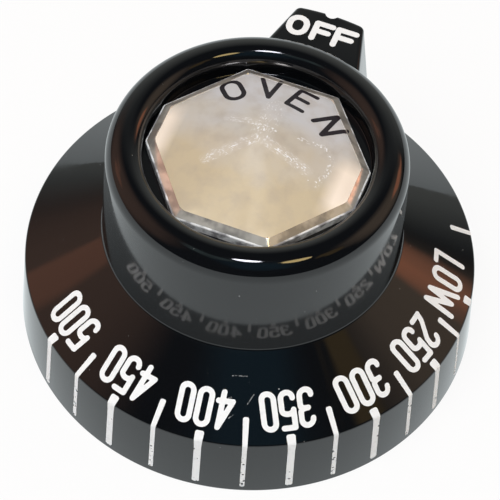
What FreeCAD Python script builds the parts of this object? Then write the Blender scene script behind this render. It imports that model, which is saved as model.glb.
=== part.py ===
import FreeCAD, Part
import os
import Sketcher

# Oven control knob: a one-piece moulded dial, a faceted bright insert and a shaft spring.
# Origin at the centre of the dial's lower rim, +Z along the shaft, the OFF lug towards +Y.

# Driving sizes in millimetres, angles in degrees and counts
SIZES = (
    # Dial skirt
    ("skirt_diameter", 63.5),
    ("rim_height", 10.6),
    ("rim_draft", 3.7),
    ("rim_edge_break", 0.35),
    ("rim_wall", 3.0),
    ("cone_wall", 3.2),
    # Round grip and its rolled top
    ("grip_diameter", 40.9),
    ("grip_foot_height", 17.4),
    ("grip_draft", 2.0),
    ("knob_height", 34.5),
    ("outer_roll", 2.8),
    ("inner_roll", 1.9),
    ("grip_wall", 3.8),
    ("core_draft", 1.0),
    # Recess for the insert
    ("recess_diameter", 30.2),
    ("recess_depth", 3.5),
    ("web_thickness", 3.0),
    # Raised lug at the OFF position
    ("lug_height", 29.2),
    ("lug_end_width", 9.7),
    ("lug_flare", 14.0),
    ("lug_draft", 7.0),
    ("lug_setback", 0.4),
    ("lug_corner_round", 0.6),
    ("lug_edge_round", 0.3),
    ("lug_wall", 2.8),
    ("notch_diameter", 1.9),
    ("notch_depth", 0.6),
    # Hub, ribs and the socket for the control's flatted shaft
    ("hub_diameter", 13.0),
    ("hub_setback", 2.5),
    ("shaft_diameter", 6.35),
    ("shaft_across_flat", 5.56),
    ("shaft_clearance", 0.15),
    ("shaft_reach", 19.0),
    ("rib_count", 4),
    ("rib_thickness", 1.8),
    ("rib_setback", 0.8),
    # Leaf spring beside the shaft's flat
    ("spring_thickness", 0.4),
    ("spring_width", 3.6),
    ("spring_length", 11.0),
    ("spring_gap", 0.5),
    ("spring_bulge", 0.25),
    ("spring_clearance", 0.1),
    # Eight-sided insert
    ("insert_clearance", 0.2),
    ("insert_edge", 1.2),
    ("insert_short_side", 25.0),
    ("insert_corner_round", 0.5),
    ("border_width", 1.15),
    ("border_rise", 0.7),
    ("ridge_setback", 0.65),
    ("crown_rise", 3.5),
    ("crown_tip", 0.6),
)

doc = FreeCAD.newDocument("oven_knob")
sizes = doc.addObject("Spreadsheet::Sheet", "Sizes")
for row, (alias, size) in enumerate(SIZES, start=1):
    sizes.set(f"A{row}", alias)
    sizes.set(f"B{row}", str(size))
    sizes.setAlias(f"B{row}", alias)
doc.recompute()

# Places worked out from the driving sizes, as expressions
OVERSHOOT = "1"
RECESS_FLOOR = "(Sizes.knob_height - Sizes.recess_depth)"
WEB_UNDERSIDE = f"({RECESS_FLOOR} - Sizes.web_thickness)"
CONE_SLOPE = (
    "((Sizes.grip_foot_height - Sizes.rim_height)"
    " / (Sizes.skirt_diameter / 2 - Sizes.rim_height * tan(Sizes.rim_draft) - Sizes.grip_diameter / 2))"
)
GRIP_CORE_RADIUS = "(Sizes.grip_diameter / 2 - Sizes.grip_wall)"
GRIP_CORE_FOOT = "(Sizes.grip_foot_height - Sizes.cone_wall)"
BORE_RADIUS = "((Sizes.shaft_diameter + Sizes.shaft_clearance) / 2)"
BORE_FLAT = "(Sizes.shaft_across_flat - Sizes.shaft_diameter / 2 + Sizes.shaft_clearance / 2)"
SLOT_BACK = f"({BORE_FLAT} + 2 * Sizes.spring_thickness + Sizes.spring_gap)"
LONG_SIDE = "((360 - 2 * Sizes.insert_short_side) / 6)"
INSERT_REACH = "(Sizes.recess_diameter / 2 - Sizes.insert_clearance)"


def rim_radius(height):
    """Radius of the drafted rim wall at a height, as an expression."""
    return f"(Sizes.skirt_diameter / 2 - ({height}) * tan(Sizes.rim_draft))"


def cone_height(radius):
    """Height of the dial's sloping face at a radius, as an expression."""
    return f"(Sizes.grip_foot_height - (({radius}) - Sizes.grip_diameter / 2) * {CONE_SLOPE})"


def number(expression):
    """Value of an expression with the present sizes."""
    return float(sizes.evalExpression(expression))


def new_body(label):
    """Body whose label names its file."""
    body = doc.addObject("PartDesign::Body", label)
    body.Label = label
    return body


def new_sketch(body, name, role, height="0"):
    """Sketch on one of the body's own origin planes, lifted along that plane's normal."""
    sketch = body.newObject("Sketcher::SketchObject", name)
    plane = next(feature for feature in body.Origin.OriginFeatures if feature.Role == role)
    sketch.AttachmentSupport = [(plane, "")]
    sketch.MapMode = "FlatFace"
    sketch.AttachmentOffset = FreeCAD.Placement(FreeCAD.Vector(0, 0, number(height)), FreeCAD.Rotation())
    sketch.setExpression("AttachmentOffset.Base.z", height)
    return sketch


def turn_sketch(sketch, axis, angle):
    """Turn a sketch about one of its own axes by an angle given as an expression."""
    base = sketch.AttachmentOffset.Base
    sketch.AttachmentOffset = FreeCAD.Placement(base, FreeCAD.Rotation(axis, number(angle)))
    sketch.setExpression("AttachmentOffset.Rotation.Angle", angle)


def vector(point):
    """Sketch point from a pair of expressions."""
    return FreeCAD.Vector(number(point[0]), number(point[1]), 0)


def pin_point(sketch, geometry, end, point):
    """Hold one end of an edge at a place given by two expressions."""
    for kind, expression in zip(("DistanceX", "DistanceY"), point):
        hold = Sketcher.Constraint(kind, -1, 1, geometry, end, number(expression))
        index = sketch.addConstraint(hold)
        sketch.setExpression(f"Constraints[{index}]", expression)


def hold_radius(sketch, geometry, expression):
    """Hold the radius of a circle or an arc."""
    index = sketch.addConstraint(Sketcher.Constraint("Radius", geometry, number(expression)))
    sketch.setExpression(f"Constraints[{index}]", expression)


def arc_between(start, end, radius):
    """Arc of less than half a turn that bends left on its way from one point to another."""
    chord = end - start
    side = FreeCAD.Vector(-chord.y, chord.x, 0).normalize()
    centre = start + chord * 0.5 + side * (radius**2 - (chord.Length / 2) ** 2) ** 0.5
    middle = centre - side * radius
    return Part.Arc(start, middle, end)


def outline(sketch, corners, arcs=None):
    """Closed outline through corners given as expressions.

    Its runs are straight, apart from those whose index is in arcs, which bend left with that radius.
    """
    arcs = arcs or {}
    count = len(corners)
    for index in range(count):
        start, end = vector(corners[index]), vector(corners[(index + 1) % count])
        if index in arcs:
            sketch.addGeometry(arc_between(start, end, number(arcs[index])), False)
        else:
            sketch.addGeometry(Part.LineSegment(start, end), False)
    for index in range(count):
        sketch.addConstraint(Sketcher.Constraint("Coincident", index, 2, (index + 1) % count, 1))
        pin_point(sketch, index, 1, corners[index])
    for index, radius in arcs.items():
        hold_radius(sketch, index, radius)


def round_corner(sketch, edge, radius):
    """Round the corner at the end of a straight edge, keeping the sharp corner as a held point."""
    edge_end = 2
    sketch.fillet(edge, edge_end, number(radius), True, True)
    arc = sketch.GeometryCount - 2
    hold_radius(sketch, arc, radius)


def circle(sketch, centre, radius):
    """Circle with its centre and radius given as expressions."""
    round_line = Part.Circle(vector(centre), FreeCAD.Vector(0, 0, 1), number(radius))
    geometry = sketch.addGeometry(round_line, False)
    pin_point(sketch, geometry, 3, centre)
    hold_radius(sketch, geometry, radius)


def extrude(body, kind, name, sketch, length, **settings):
    """Pad or Pocket of a sketch by a length given as an expression."""
    feature = body.newObject(f"PartDesign::{kind}", name)
    feature.Profile = sketch
    feature.setExpression("Length", length)
    for key, setting in settings.items():
        setattr(feature, key, setting)
    doc.recompute()
    return feature


def loft(body, kind, name, sketches):
    """Straight-sided loft, added or taken away, from one sketch to the next."""
    feature = body.newObject(f"PartDesign::{kind}", name)
    feature.Profile = sketches[0]
    feature.Sections = list(sketches[1:])
    feature.Ruled = True
    doc.recompute()
    return feature


def turn(body, kind, name, sketch):
    """Revolution or Groove of a sketch round the knob's axis."""
    feature = body.newObject(f"PartDesign::{kind}", name)
    feature.Profile = sketch
    feature.ReferenceAxis = (sketch, ["V_Axis"])
    feature.Angle = 360
    doc.recompute()
    return feature


def round_edges(body, name, radius, chosen):
    """Fillet of the edges of the body's tip that a test picks out."""
    base = body.Tip
    names = [f"Edge{index}" for index, edge in enumerate(base.Shape.Edges, start=1) if chosen(edge)]
    fillet = body.newObject("PartDesign::Fillet", name)
    fillet.Base = (base, names)
    fillet.setExpression("Radius", radius)
    doc.recompute()
    return fillet


def build_outer_form(body):
    """Skirt, sloping dial face, grip with its rolled top and the insert's recess in one revolve."""
    grip_top_radius = (
        "(Sizes.grip_diameter / 2 - (Sizes.knob_height - Sizes.grip_foot_height) * tan(Sizes.grip_draft))"
    )
    recess_radius = "(Sizes.recess_diameter / 2)"
    wall_top = "(Sizes.rim_height - Sizes.rim_edge_break)"
    cone_edge = f"({rim_radius('Sizes.rim_height')} - Sizes.rim_edge_break)"
    profile = new_sketch(body, "outer_profile", "XZ_Plane")
    outline(
        profile,
        (
            ("0", "0"),
            (rim_radius("0"), "0"),
            (rim_radius(wall_top), wall_top),
            (cone_edge, cone_height(cone_edge)),
            ("Sizes.grip_diameter / 2", "Sizes.grip_foot_height"),
            (grip_top_radius, "Sizes.knob_height"),
            (recess_radius, "Sizes.knob_height"),
            (recess_radius, RECESS_FLOOR),
            ("0", RECESS_FLOOR),
        ),
    )
    # The two rolls shrink together where the top is too narrow for both
    roll_share = f"min(1; ({grip_top_radius} - {recess_radius}) / (Sizes.outer_roll + Sizes.inner_roll))"
    grip_side, grip_top = 4, 5
    round_corner(profile, grip_side, f"Sizes.outer_roll * {roll_share}")
    round_corner(profile, grip_top, f"Sizes.inner_roll * {roll_share}")
    turn(body, "Revolution", "outer_form", profile)


def lug_end(height):
    """Radius of the lug's outer end at a height, just inside the rim wall, as an expression."""
    return f"({rim_radius(height)} - Sizes.lug_setback)"


def lug_half_width(radius, height="Sizes.lug_height"):
    """Half the lug's width at a radius and a height, as an expression."""
    taper = f"(({lug_end('Sizes.lug_height')} - ({radius})) * tan(Sizes.lug_flare))"
    draft = f"((Sizes.lug_height - ({height})) * tan(Sizes.lug_draft))"
    return f"(Sizes.lug_end_width / 2 + {taper} + {draft})"


def build_lug(body):
    """Wedge at the OFF position: drafted sides, a round end inside the rim, a pointer notch."""
    inner = f"({GRIP_CORE_RADIUS} + Sizes.grip_wall / 2)"
    sections = []
    for place, height in (("top", "Sizes.lug_height"), ("foot", f"(Sizes.rim_height - {OVERSHOOT})")):
        end = lug_end(height)
        half_in = lug_half_width(inner, height)
        half_out = lug_half_width(lug_end("Sizes.lug_height"), height)
        reach = f"sqrt({end}^2 - {half_out}^2)"
        plan = new_sketch(body, f"lug_{place}", "XY_Plane", height)
        corners = ((f"-{half_in}", inner), (half_in, inner), (half_out, reach), (f"-{half_out}", reach))
        outline(plan, corners, {2: end})
        sections.append(plan)
    loft(body, "AdditiveLoft", "lug", sections)

    near = 1e-4
    level = number("Sizes.lug_height")
    front = number("Sizes.grip_diameter / 2")

    def upright_corner(edge):
        box = edge.BoundBox
        return abs(box.ZMax - level) < near and box.ZLength > near and box.YMin > front

    round_edges(body, "lug_corners", "Sizes.lug_corner_round", upright_corner)

    def top_edge(edge):
        box = edge.BoundBox
        return box.ZLength < near and abs(box.ZMax - level) < near and box.YMax > front

    round_edges(body, "lug_top_edges", "Sizes.lug_edge_round", top_edge)

    notch = new_sketch(body, "notch_outline", "XY_Plane", "Sizes.lug_height")
    turn_sketch(notch, FreeCAD.Vector(1, 0, 0), "Sizes.rim_draft")
    centre = f"({lug_end('Sizes.lug_height')} + Sizes.notch_diameter / 2 - Sizes.notch_depth)"
    circle(notch, ("0", f"({centre} * cos(Sizes.rim_draft))"), "Sizes.notch_diameter / 2")
    extrude(body, "Pocket", "pointer_notch", notch, "Sizes.lug_height - Sizes.rim_height")


def build_underside(body):
    """Hollow under the dial round a central hub, and the core that lightens the lug."""
    rim_core = f"({rim_radius('0')} - Sizes.rim_wall)"
    core_edge = f"({rim_radius('Sizes.rim_height')} - Sizes.rim_wall)"
    core_edge_height = f"({cone_height(core_edge)} - Sizes.cone_wall)"
    grip_core_top = (
        f"({GRIP_CORE_RADIUS} - ({WEB_UNDERSIDE} - {GRIP_CORE_FOOT}) * tan(Sizes.core_draft))"
    )
    hub_foot = "(Sizes.hub_diameter / 2)"
    hub_root = f"({hub_foot} + ({WEB_UNDERSIDE} - Sizes.hub_setback) * tan(Sizes.core_draft))"
    below = f"-{OVERSHOOT}"
    hollow = new_sketch(body, "hollow_profile", "XZ_Plane")
    outline(
        hollow,
        (
            ("0", below),
            (rim_core, below),
            (core_edge, core_edge_height),
            (GRIP_CORE_RADIUS, GRIP_CORE_FOOT),
            (grip_core_top, WEB_UNDERSIDE),
            (hub_root, WEB_UNDERSIDE),
            (hub_foot, "Sizes.hub_setback"),
            ("0", "Sizes.hub_setback"),
        ),
    )
    turn(body, "Groove", "hollow", hollow)

    core_inner = "(Sizes.grip_diameter / 2)"
    core_outer = f"({lug_end('Sizes.lug_height')} - Sizes.lug_wall)"
    core = new_sketch(body, "lug_core_plan", "XY_Plane", "Sizes.lug_height - Sizes.lug_wall")
    outline(
        core,
        (
            (f"-({lug_half_width(core_inner)} - Sizes.lug_wall)", core_inner),
            (f"({lug_half_width(core_inner)} - Sizes.lug_wall)", core_inner),
            (f"({lug_half_width(core_outer)} - Sizes.lug_wall)", core_outer),
            (f"-({lug_half_width(core_outer)} - Sizes.lug_wall)", core_outer),
        ),
    )
    pocket = extrude(body, "Pocket", "lug_core", core, "Sizes.lug_height - Sizes.lug_wall")
    pocket.setExpression("TaperAngle", "Sizes.core_draft")
    doc.recompute()


def build_socket(body):
    """Flatted shaft socket in the hub, with the slot that holds the leaf spring."""
    depth = "(Sizes.hub_setback + Sizes.shaft_reach)"
    bore = new_sketch(body, "socket_outline", "XY_Plane")
    half = f"sqrt({BORE_RADIUS}^2 - {BORE_FLAT}^2)"
    corners = ((half, BORE_FLAT), (f"-{half}", BORE_FLAT), ("0", f"-{BORE_RADIUS}"))
    outline(bore, corners, {1: BORE_RADIUS, 2: BORE_RADIUS})
    extrude(body, "Pocket", "shaft_socket", bore, depth, Reversed=True)

    slot_half = "(Sizes.spring_width / 2 + Sizes.spring_clearance)"
    slot = new_sketch(body, "spring_slot_outline", "XY_Plane")
    outline(
        slot,
        (
            (f"-{slot_half}", "0"),
            (slot_half, "0"),
            (slot_half, SLOT_BACK),
            (f"-{slot_half}", SLOT_BACK),
        ),
    )
    slot_depth = "(Sizes.hub_setback + Sizes.spring_length + Sizes.spring_clearance)"
    extrude(body, "Pocket", "spring_slot", slot, slot_depth, Reversed=True)


def build_ribs(body):
    """Radial ribs between the hub and the grip wall, under the web and clear of the lug."""
    root = "(Sizes.hub_diameter / 2 - Sizes.rib_thickness / 2)"
    tip = f"({GRIP_CORE_RADIUS} + Sizes.grip_wall / 4)"
    half = "(Sizes.rib_thickness / 2)"
    foot = f"({GRIP_CORE_FOOT} + Sizes.rib_setback)"
    plan = new_sketch(body, "rib_plan", "XY_Plane", foot)
    turn_sketch(plan, FreeCAD.Vector(0, 0, 1), "180 / Sizes.rib_count")
    outline(plan, ((root, f"-{half}"), (tip, f"-{half}"), (tip, half), (root, half)))
    rib = extrude(body, "Pad", "rib", plan, f"{WEB_UNDERSIDE} - {foot} + {OVERSHOOT}")

    pattern = body.newObject("PartDesign::PolarPattern", "ribs")
    pattern.Originals = [rib]
    pattern.Axis = (plan, ["N_Axis"])
    pattern.Angle = 360
    pattern.setExpression("Occurrences", "Sizes.rib_count")
    body.Tip = pattern
    doc.recompute()


def insert_sides():
    """Span, middle and end of the insert's eight sides, as angles anticlockwise from +Y."""
    spans = [LONG_SIDE, LONG_SIDE, "Sizes.insert_short_side", LONG_SIDE] * 2
    side_end = f"(-{LONG_SIDE} / 2)"
    sides = []
    for span in spans:
        side_end = f"({side_end} + {span})"
        sides.append((span, f"({side_end} - {span} / 2)", side_end))
    return sides


def build_insert():
    """Plaque on the recess floor: upright edge, bevelled border, eight facets and soft ridges."""
    body = new_body("faceted_insert")
    border_reach = f"({INSERT_REACH} - Sizes.border_width / cos({LONG_SIDE} / 2))"
    ridge_reach = f"({border_reach} - Sizes.ridge_setback)"
    ridge_tip = f"(Sizes.crown_tip * {ridge_reach} / {border_reach})"
    border_top = f"({RECESS_FLOOR} + Sizes.insert_edge + Sizes.border_rise)"
    crown_top = f"({border_top} + Sizes.crown_rise)"
    above = f"({crown_top} + {OVERSHOOT})"
    outside = f"({INSERT_REACH} + {OVERSHOOT})"
    sides = insert_sides()

    foot = new_sketch(body, "edge_outline", "XY_Plane", RECESS_FLOOR)
    corners = [(f"(-{INSERT_REACH} * sin({end}))", f"({INSERT_REACH} * cos({end}))") for _, _, end in sides]
    outline(foot, corners)
    for edge in range(len(corners)):
        round_corner(foot, edge, "Sizes.insert_corner_round")
    extrude(body, "Pad", "blank", foot, f"{crown_top} - {RECESS_FLOOR}")

    for number_of_side, (span, middle, _) in enumerate(sides, start=1):
        border = f"({border_reach} * cos({span} / 2))"
        tip = f"(Sizes.crown_tip * cos({span} / 2))"
        bevel_run = f"({outside} - {border})"
        bevel_foot = f"({border_top} - {bevel_run} * Sizes.border_rise / Sizes.border_width)"
        facet = new_sketch(body, f"facet_{number_of_side}_profile", "YZ_Plane")
        turn_sketch(facet, FreeCAD.Vector(0, 1, 0), middle)
        corners = ((outside, bevel_foot), (outside, above), (tip, above), (tip, crown_top), (border, border_top))
        outline(facet, corners)
        width = f"2 * {outside}"
        extrude(body, "Pocket", f"facet_{number_of_side}", facet, width, SideType="Symmetric")

    ridges = new_sketch(body, "ridge_profile", "XZ_Plane")
    outline(
        ridges,
        (
            (ridge_reach, border_top),
            (outside, border_top),
            (outside, above),
            (ridge_tip, above),
            (ridge_tip, crown_top),
        ),
    )
    turn(body, "Groove", "soft_ridges", ridges)
    return body


def build_spring():
    """Leaf spring folded into a narrow U, its inner leg bulging towards the shaft's flat."""
    body = new_body("shaft_spring")
    foot = "Sizes.hub_setback"
    top = f"({foot} + Sizes.spring_length)"
    middle = f"({foot} + Sizes.spring_length / 2)"
    leaf = "Sizes.spring_thickness"
    back = f"({SLOT_BACK} - {leaf})"
    front = f"({BORE_FLAT} + {leaf})"
    crest = f"({BORE_FLAT} - Sizes.spring_bulge)"
    profile = new_sketch(body, "leaf_profile", "YZ_Plane")
    outline(
        profile,
        (
            (SLOT_BACK, foot),
            (SLOT_BACK, top),
            (BORE_FLAT, top),
            (crest, middle),
            (BORE_FLAT, f"({foot} + {leaf})"),
            (front, f"({foot} + {leaf})"),
            (f"({crest} + {leaf})", middle),
            (front, f"({top} - {leaf})"),
            (back, f"({top} - {leaf})"),
            (back, foot),
        ),
    )
    extrude(body, "Pad", "leaf", profile, "Sizes.spring_width", SideType="Symmetric")
    return body


def build_knob():
    """The moulding: outer form, lug, hollow underside, shaft socket and ribs."""
    body = new_body("knob_body")
    build_outer_form(body)
    build_lug(body)
    build_underside(body)
    build_ribs(body)
    build_socket(body)
    return body


def check_document(bodies):
    """Stop if any object failed to build or any body is not one valid solid."""
    failed = [item.Name for item in doc.Objects if {"Invalid", "Error"} & set(item.State)]
    if failed:
        raise RuntimeError(f"objects that failed: {failed}")
    for body in bodies:
        shape = body.Shape
        if shape.isNull() or not shape.isValid() or len(shape.Solids) != 1:
            raise RuntimeError(f"{body.Label} is not one valid solid")


pieces = [build_knob(), build_insert(), build_spring()]
doc.recompute()
check_document(pieces)
os.makedirs("parts", exist_ok=True)
for piece in pieces:
    piece.Shape.exportStep(f"parts/{piece.Label}.step")
    print(piece.Label, round(piece.Shape.Volume, 1), piece.Shape.BoundBox)
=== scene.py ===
"""Oven control knob: fine meshes, dial print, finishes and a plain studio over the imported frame."""

import logging
import math
import random
from collections.abc import Callable, Iterable, Sequence
from dataclasses import dataclass, field
from enum import Enum
from functools import cached_property, partial
from typing import Any

import bmesh
import bpy
import numpy as np
from mathutils import Matrix, Vector

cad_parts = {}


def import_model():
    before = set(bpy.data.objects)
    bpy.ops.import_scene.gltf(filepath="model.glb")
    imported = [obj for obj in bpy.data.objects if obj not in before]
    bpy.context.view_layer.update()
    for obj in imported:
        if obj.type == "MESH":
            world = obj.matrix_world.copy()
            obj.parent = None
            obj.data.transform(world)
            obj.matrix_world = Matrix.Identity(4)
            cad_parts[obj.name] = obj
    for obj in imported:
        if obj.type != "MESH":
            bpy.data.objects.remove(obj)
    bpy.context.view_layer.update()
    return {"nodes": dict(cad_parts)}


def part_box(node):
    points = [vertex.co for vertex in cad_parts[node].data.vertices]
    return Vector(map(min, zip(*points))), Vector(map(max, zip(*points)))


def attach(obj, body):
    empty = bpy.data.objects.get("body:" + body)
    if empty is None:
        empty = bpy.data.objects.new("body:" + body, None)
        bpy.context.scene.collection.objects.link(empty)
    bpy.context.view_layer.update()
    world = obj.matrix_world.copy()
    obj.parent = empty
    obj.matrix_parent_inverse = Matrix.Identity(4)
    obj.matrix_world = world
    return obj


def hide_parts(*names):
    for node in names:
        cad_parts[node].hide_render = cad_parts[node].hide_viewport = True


LOG = logging.getLogger("oven_knob")
MM = 0.001
BODY = "root"

# Millimetres by which a cutter or a rib runs past the face that it meets
OVERRUN = 1.0

Cell = tuple[int, int]
Pair = tuple[float, float]
Triple = tuple[float, float, float]
Colour = tuple[float, float, float, float]
Level = tuple[Sequence[Pair], float]
Placing = Callable[[float, float, float], Triple]


class Slot(Enum):
    """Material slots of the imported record."""

    BLACK_MOULDING = "black_moulding"
    BRIGHT_INSERT = "bright_insert"
    SPRING_STEEL = "spring_steel"
    WHITE_PRINT = "white_print"
    DARK_PRINT = "dark_print"


class Join(Enum):
    """Ways to combine two closed solids."""

    ADD = "UNION"
    TAKE = "DIFFERENCE"


class Ramp(Enum):
    """Courses from one end of a range to the other."""

    STRAIGHT = "LINEAR"
    SOFT = "SMOOTHSTEP"


class Op(Enum):
    """Sums on values and vectors."""

    ADD = "ADD"
    SUBTRACT = "SUBTRACT"
    MULTIPLY = "MULTIPLY"
    MAXIMUM = "MAXIMUM"
    ABSOLUTE = "ABSOLUTE"
    LESS_THAN = "LESS_THAN"
    DOT_PRODUCT = "DOT_PRODUCT"
    DISTANCE = "DISTANCE"
    SCALE = "SCALE"


def metres(pair: Pair) -> Pair:
    """Two lengths in millimetres as metres."""
    return pair[0] * MM, pair[1] * MM


# Outlines and meshes


@dataclass(frozen=True)
class Corner:
    """Corner of an outline in millimetres, with the radius that rounds it."""

    x: float
    y: float
    rounding: float = 0.0

    def vector(self) -> Vector:
        """The corner as a plane vector."""
        return Vector((self.x, self.y))


@dataclass(frozen=True)
class Outline:
    """Run of straight sides whose corners may be rounded, open or closed."""

    corners: tuple[Corner, ...]
    closed: bool = True
    arc_step: float = 7.5

    def points(self) -> list[Pair]:
        """Points along the outline, with arcs at its rounded corners.

        Returns:
            The points in order, in millimetres.
        """
        last = len(self.corners) - 1
        path: list[Pair] = []
        for index, corner in enumerate(self.corners):
            inside = self.closed or 0 < index < last
            if corner.rounding > 0 and inside:
                after = self.corners[(index + 1) % len(self.corners)]
                path.extend(self._arc(self.corners[index - 1], corner, after))
            else:
                path.append((corner.x, corner.y))
        return path

    def _arc(self, before: Corner, corner: Corner, after: Corner) -> list[Pair]:
        """Arc that rounds one corner.

        Args:
            before: Corner that the outline comes from.
            corner: Corner to round.
            after: Corner that the outline goes on to.

        Returns:
            Points of the arc from its first to its last tangent point.
        """
        here = corner.vector()
        back = (before.vector() - here).normalized()
        ahead = (after.vector() - here).normalized()
        inner = back.angle(ahead)
        centre = here + (back + ahead).normalized() * (corner.rounding / math.sin(inner / 2))
        start = here + back * (corner.rounding / math.tan(inner / 2)) - centre
        turn = math.pi - inner
        sense = math.copysign(1.0, ahead.x * back.y - ahead.y * back.x)
        steps = max(2, math.ceil(math.degrees(turn) / self.arc_step))
        arc = []
        for step in range(steps + 1):
            point = centre + Matrix.Rotation(sense * turn * step / steps, 2) @ start
            arc.append((point.x, point.y))
        return arc


@dataclass
class MeshDraft:
    """Vertices and faces of one piece, in millimetres."""

    points: list[Triple] = field(default_factory=list)
    faces: list[tuple[int, ...]] = field(default_factory=list)

    def ring(self, points: Iterable[Triple]) -> list[int]:
        """Add points and give their indices.

        Args:
            points: Points in millimetres.

        Returns:
            Index of each point in the draft.
        """
        start = len(self.points)
        self.points.extend(points)
        return list(range(start, len(self.points)))

    def bridge(self, first: Sequence[int], second: Sequence[int]) -> None:
        """Join two closed rings of equal length with quads.

        Args:
            first: One ring's indices.
            second: The other ring's indices.
        """
        count = len(first)
        for index in range(count):
            after = (index + 1) % count
            self.faces.append((first[index], first[after], second[after], second[index]))

    def walls(self, levels: Sequence[Level]) -> list[list[int]]:
        """Add plan outlines at rising heights, and the walls between them.

        Args:
            levels: Outline and height of each level, all outlines with as many points.

        Returns:
            Ring of each level.
        """
        rings = [self.ring((x, y, height) for x, y in plan) for plan, height in levels]
        for lower, upper in zip(rings, rings[1:]):
            self.bridge(lower, upper)
        return rings

    def cap(self, ring: Sequence[int]) -> None:
        """Close a ring with one face."""
        self.faces.append(tuple(ring))

    def fan(self, ring: Sequence[int], tip: Triple) -> None:
        """Close a ring with triangles to a tip.

        Args:
            ring: The ring's indices.
            tip: Point where the triangles meet.
        """
        centre = self.ring([tip])[0]
        for index, start in enumerate(ring):
            self.faces.append((start, ring[(index + 1) % len(ring)], centre))

    def build(self, name: str, sharp_angle: float = 30.0) -> bpy.types.Object:
        """Make the scene object, in metres, with its faces turned outwards.

        Args:
            name: Name of the object and its mesh.
            sharp_angle: Edges that turn by more degrees than this stay sharp.

        Returns:
            The new object, linked to the scene.
        """
        mesh = bpy.data.meshes.new(name)
        mesh.from_pydata([tuple(value * MM for value in point) for point in self.points], [], self.faces)
        turn_faces_outwards(mesh)
        smooth_by_angle(mesh, sharp_angle)
        made = bpy.data.objects.new(name, mesh)
        bpy.context.scene.collection.objects.link(made)
        return made


def turn_faces_outwards(mesh: bpy.types.Mesh) -> None:
    """Give a closed mesh consistent outward faces.

    Args:
        mesh: Mesh to change.
    """
    work = bmesh.new()
    work.from_mesh(mesh)
    bmesh.ops.recalc_face_normals(work, faces=work.faces)
    work.to_mesh(mesh)
    work.free()


def merge_close_points(mesh: bpy.types.Mesh, distance: float) -> None:
    """Join the points of a mesh that all but coincide.

    Args:
        mesh: Mesh to change.
        distance: Least distance between two points in millimetres.
    """
    work = bmesh.new()
    work.from_mesh(mesh)
    bmesh.ops.remove_doubles(work, verts=work.verts, dist=distance * MM)
    work.to_mesh(mesh)
    work.free()


def smooth_by_angle(mesh: bpy.types.Mesh, sharp_angle: float) -> None:
    """Shade a mesh smooth but for its sharp edges.

    Args:
        mesh: Mesh to change.
        sharp_angle: Edges that turn by more degrees than this stay sharp.
    """
    mesh.polygons.foreach_set("use_smooth", [True] * len(mesh.polygons))
    mesh.set_sharp_from_angle(angle=math.radians(sharp_angle))


def drop_object(thing: bpy.types.Object) -> None:
    """Remove a helper object and its mesh.

    Args:
        thing: Object to remove.
    """
    mesh = thing.data
    bpy.data.objects.remove(thing)
    bpy.data.meshes.remove(mesh)


def combine(target: bpy.types.Object, tool: bpy.types.Object, how: Join) -> None:
    """Join a tool solid to a target or take it away, and drop the tool.

    Args:
        target: Object whose mesh changes.
        tool: Closed solid that is used up.
        how: Way to combine them.
    """
    cutter = target.modifiers.new(how.name, "BOOLEAN")
    cutter.operation = how.value
    cutter.solver = "EXACT"
    cutter.object = tool
    graph = bpy.context.evaluated_depsgraph_get()
    made = bpy.data.meshes.new_from_object(target.evaluated_get(graph))
    target.modifiers.clear()
    old = target.data
    target.data = made
    bpy.data.meshes.remove(old)
    drop_object(tool)


def stack(name: str, levels: Sequence[Level]) -> bpy.types.Object:
    """Closed solid through plan outlines at rising heights.

    Args:
        name: Name of the object.
        levels: Outline and height of each level, all outlines with as many points.

    Returns:
        The new object.
    """
    draft = MeshDraft()
    rings = draft.walls(levels)
    draft.cap(rings[0])
    draft.cap(rings[-1])
    return draft.build(name)


# Finishes


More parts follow.
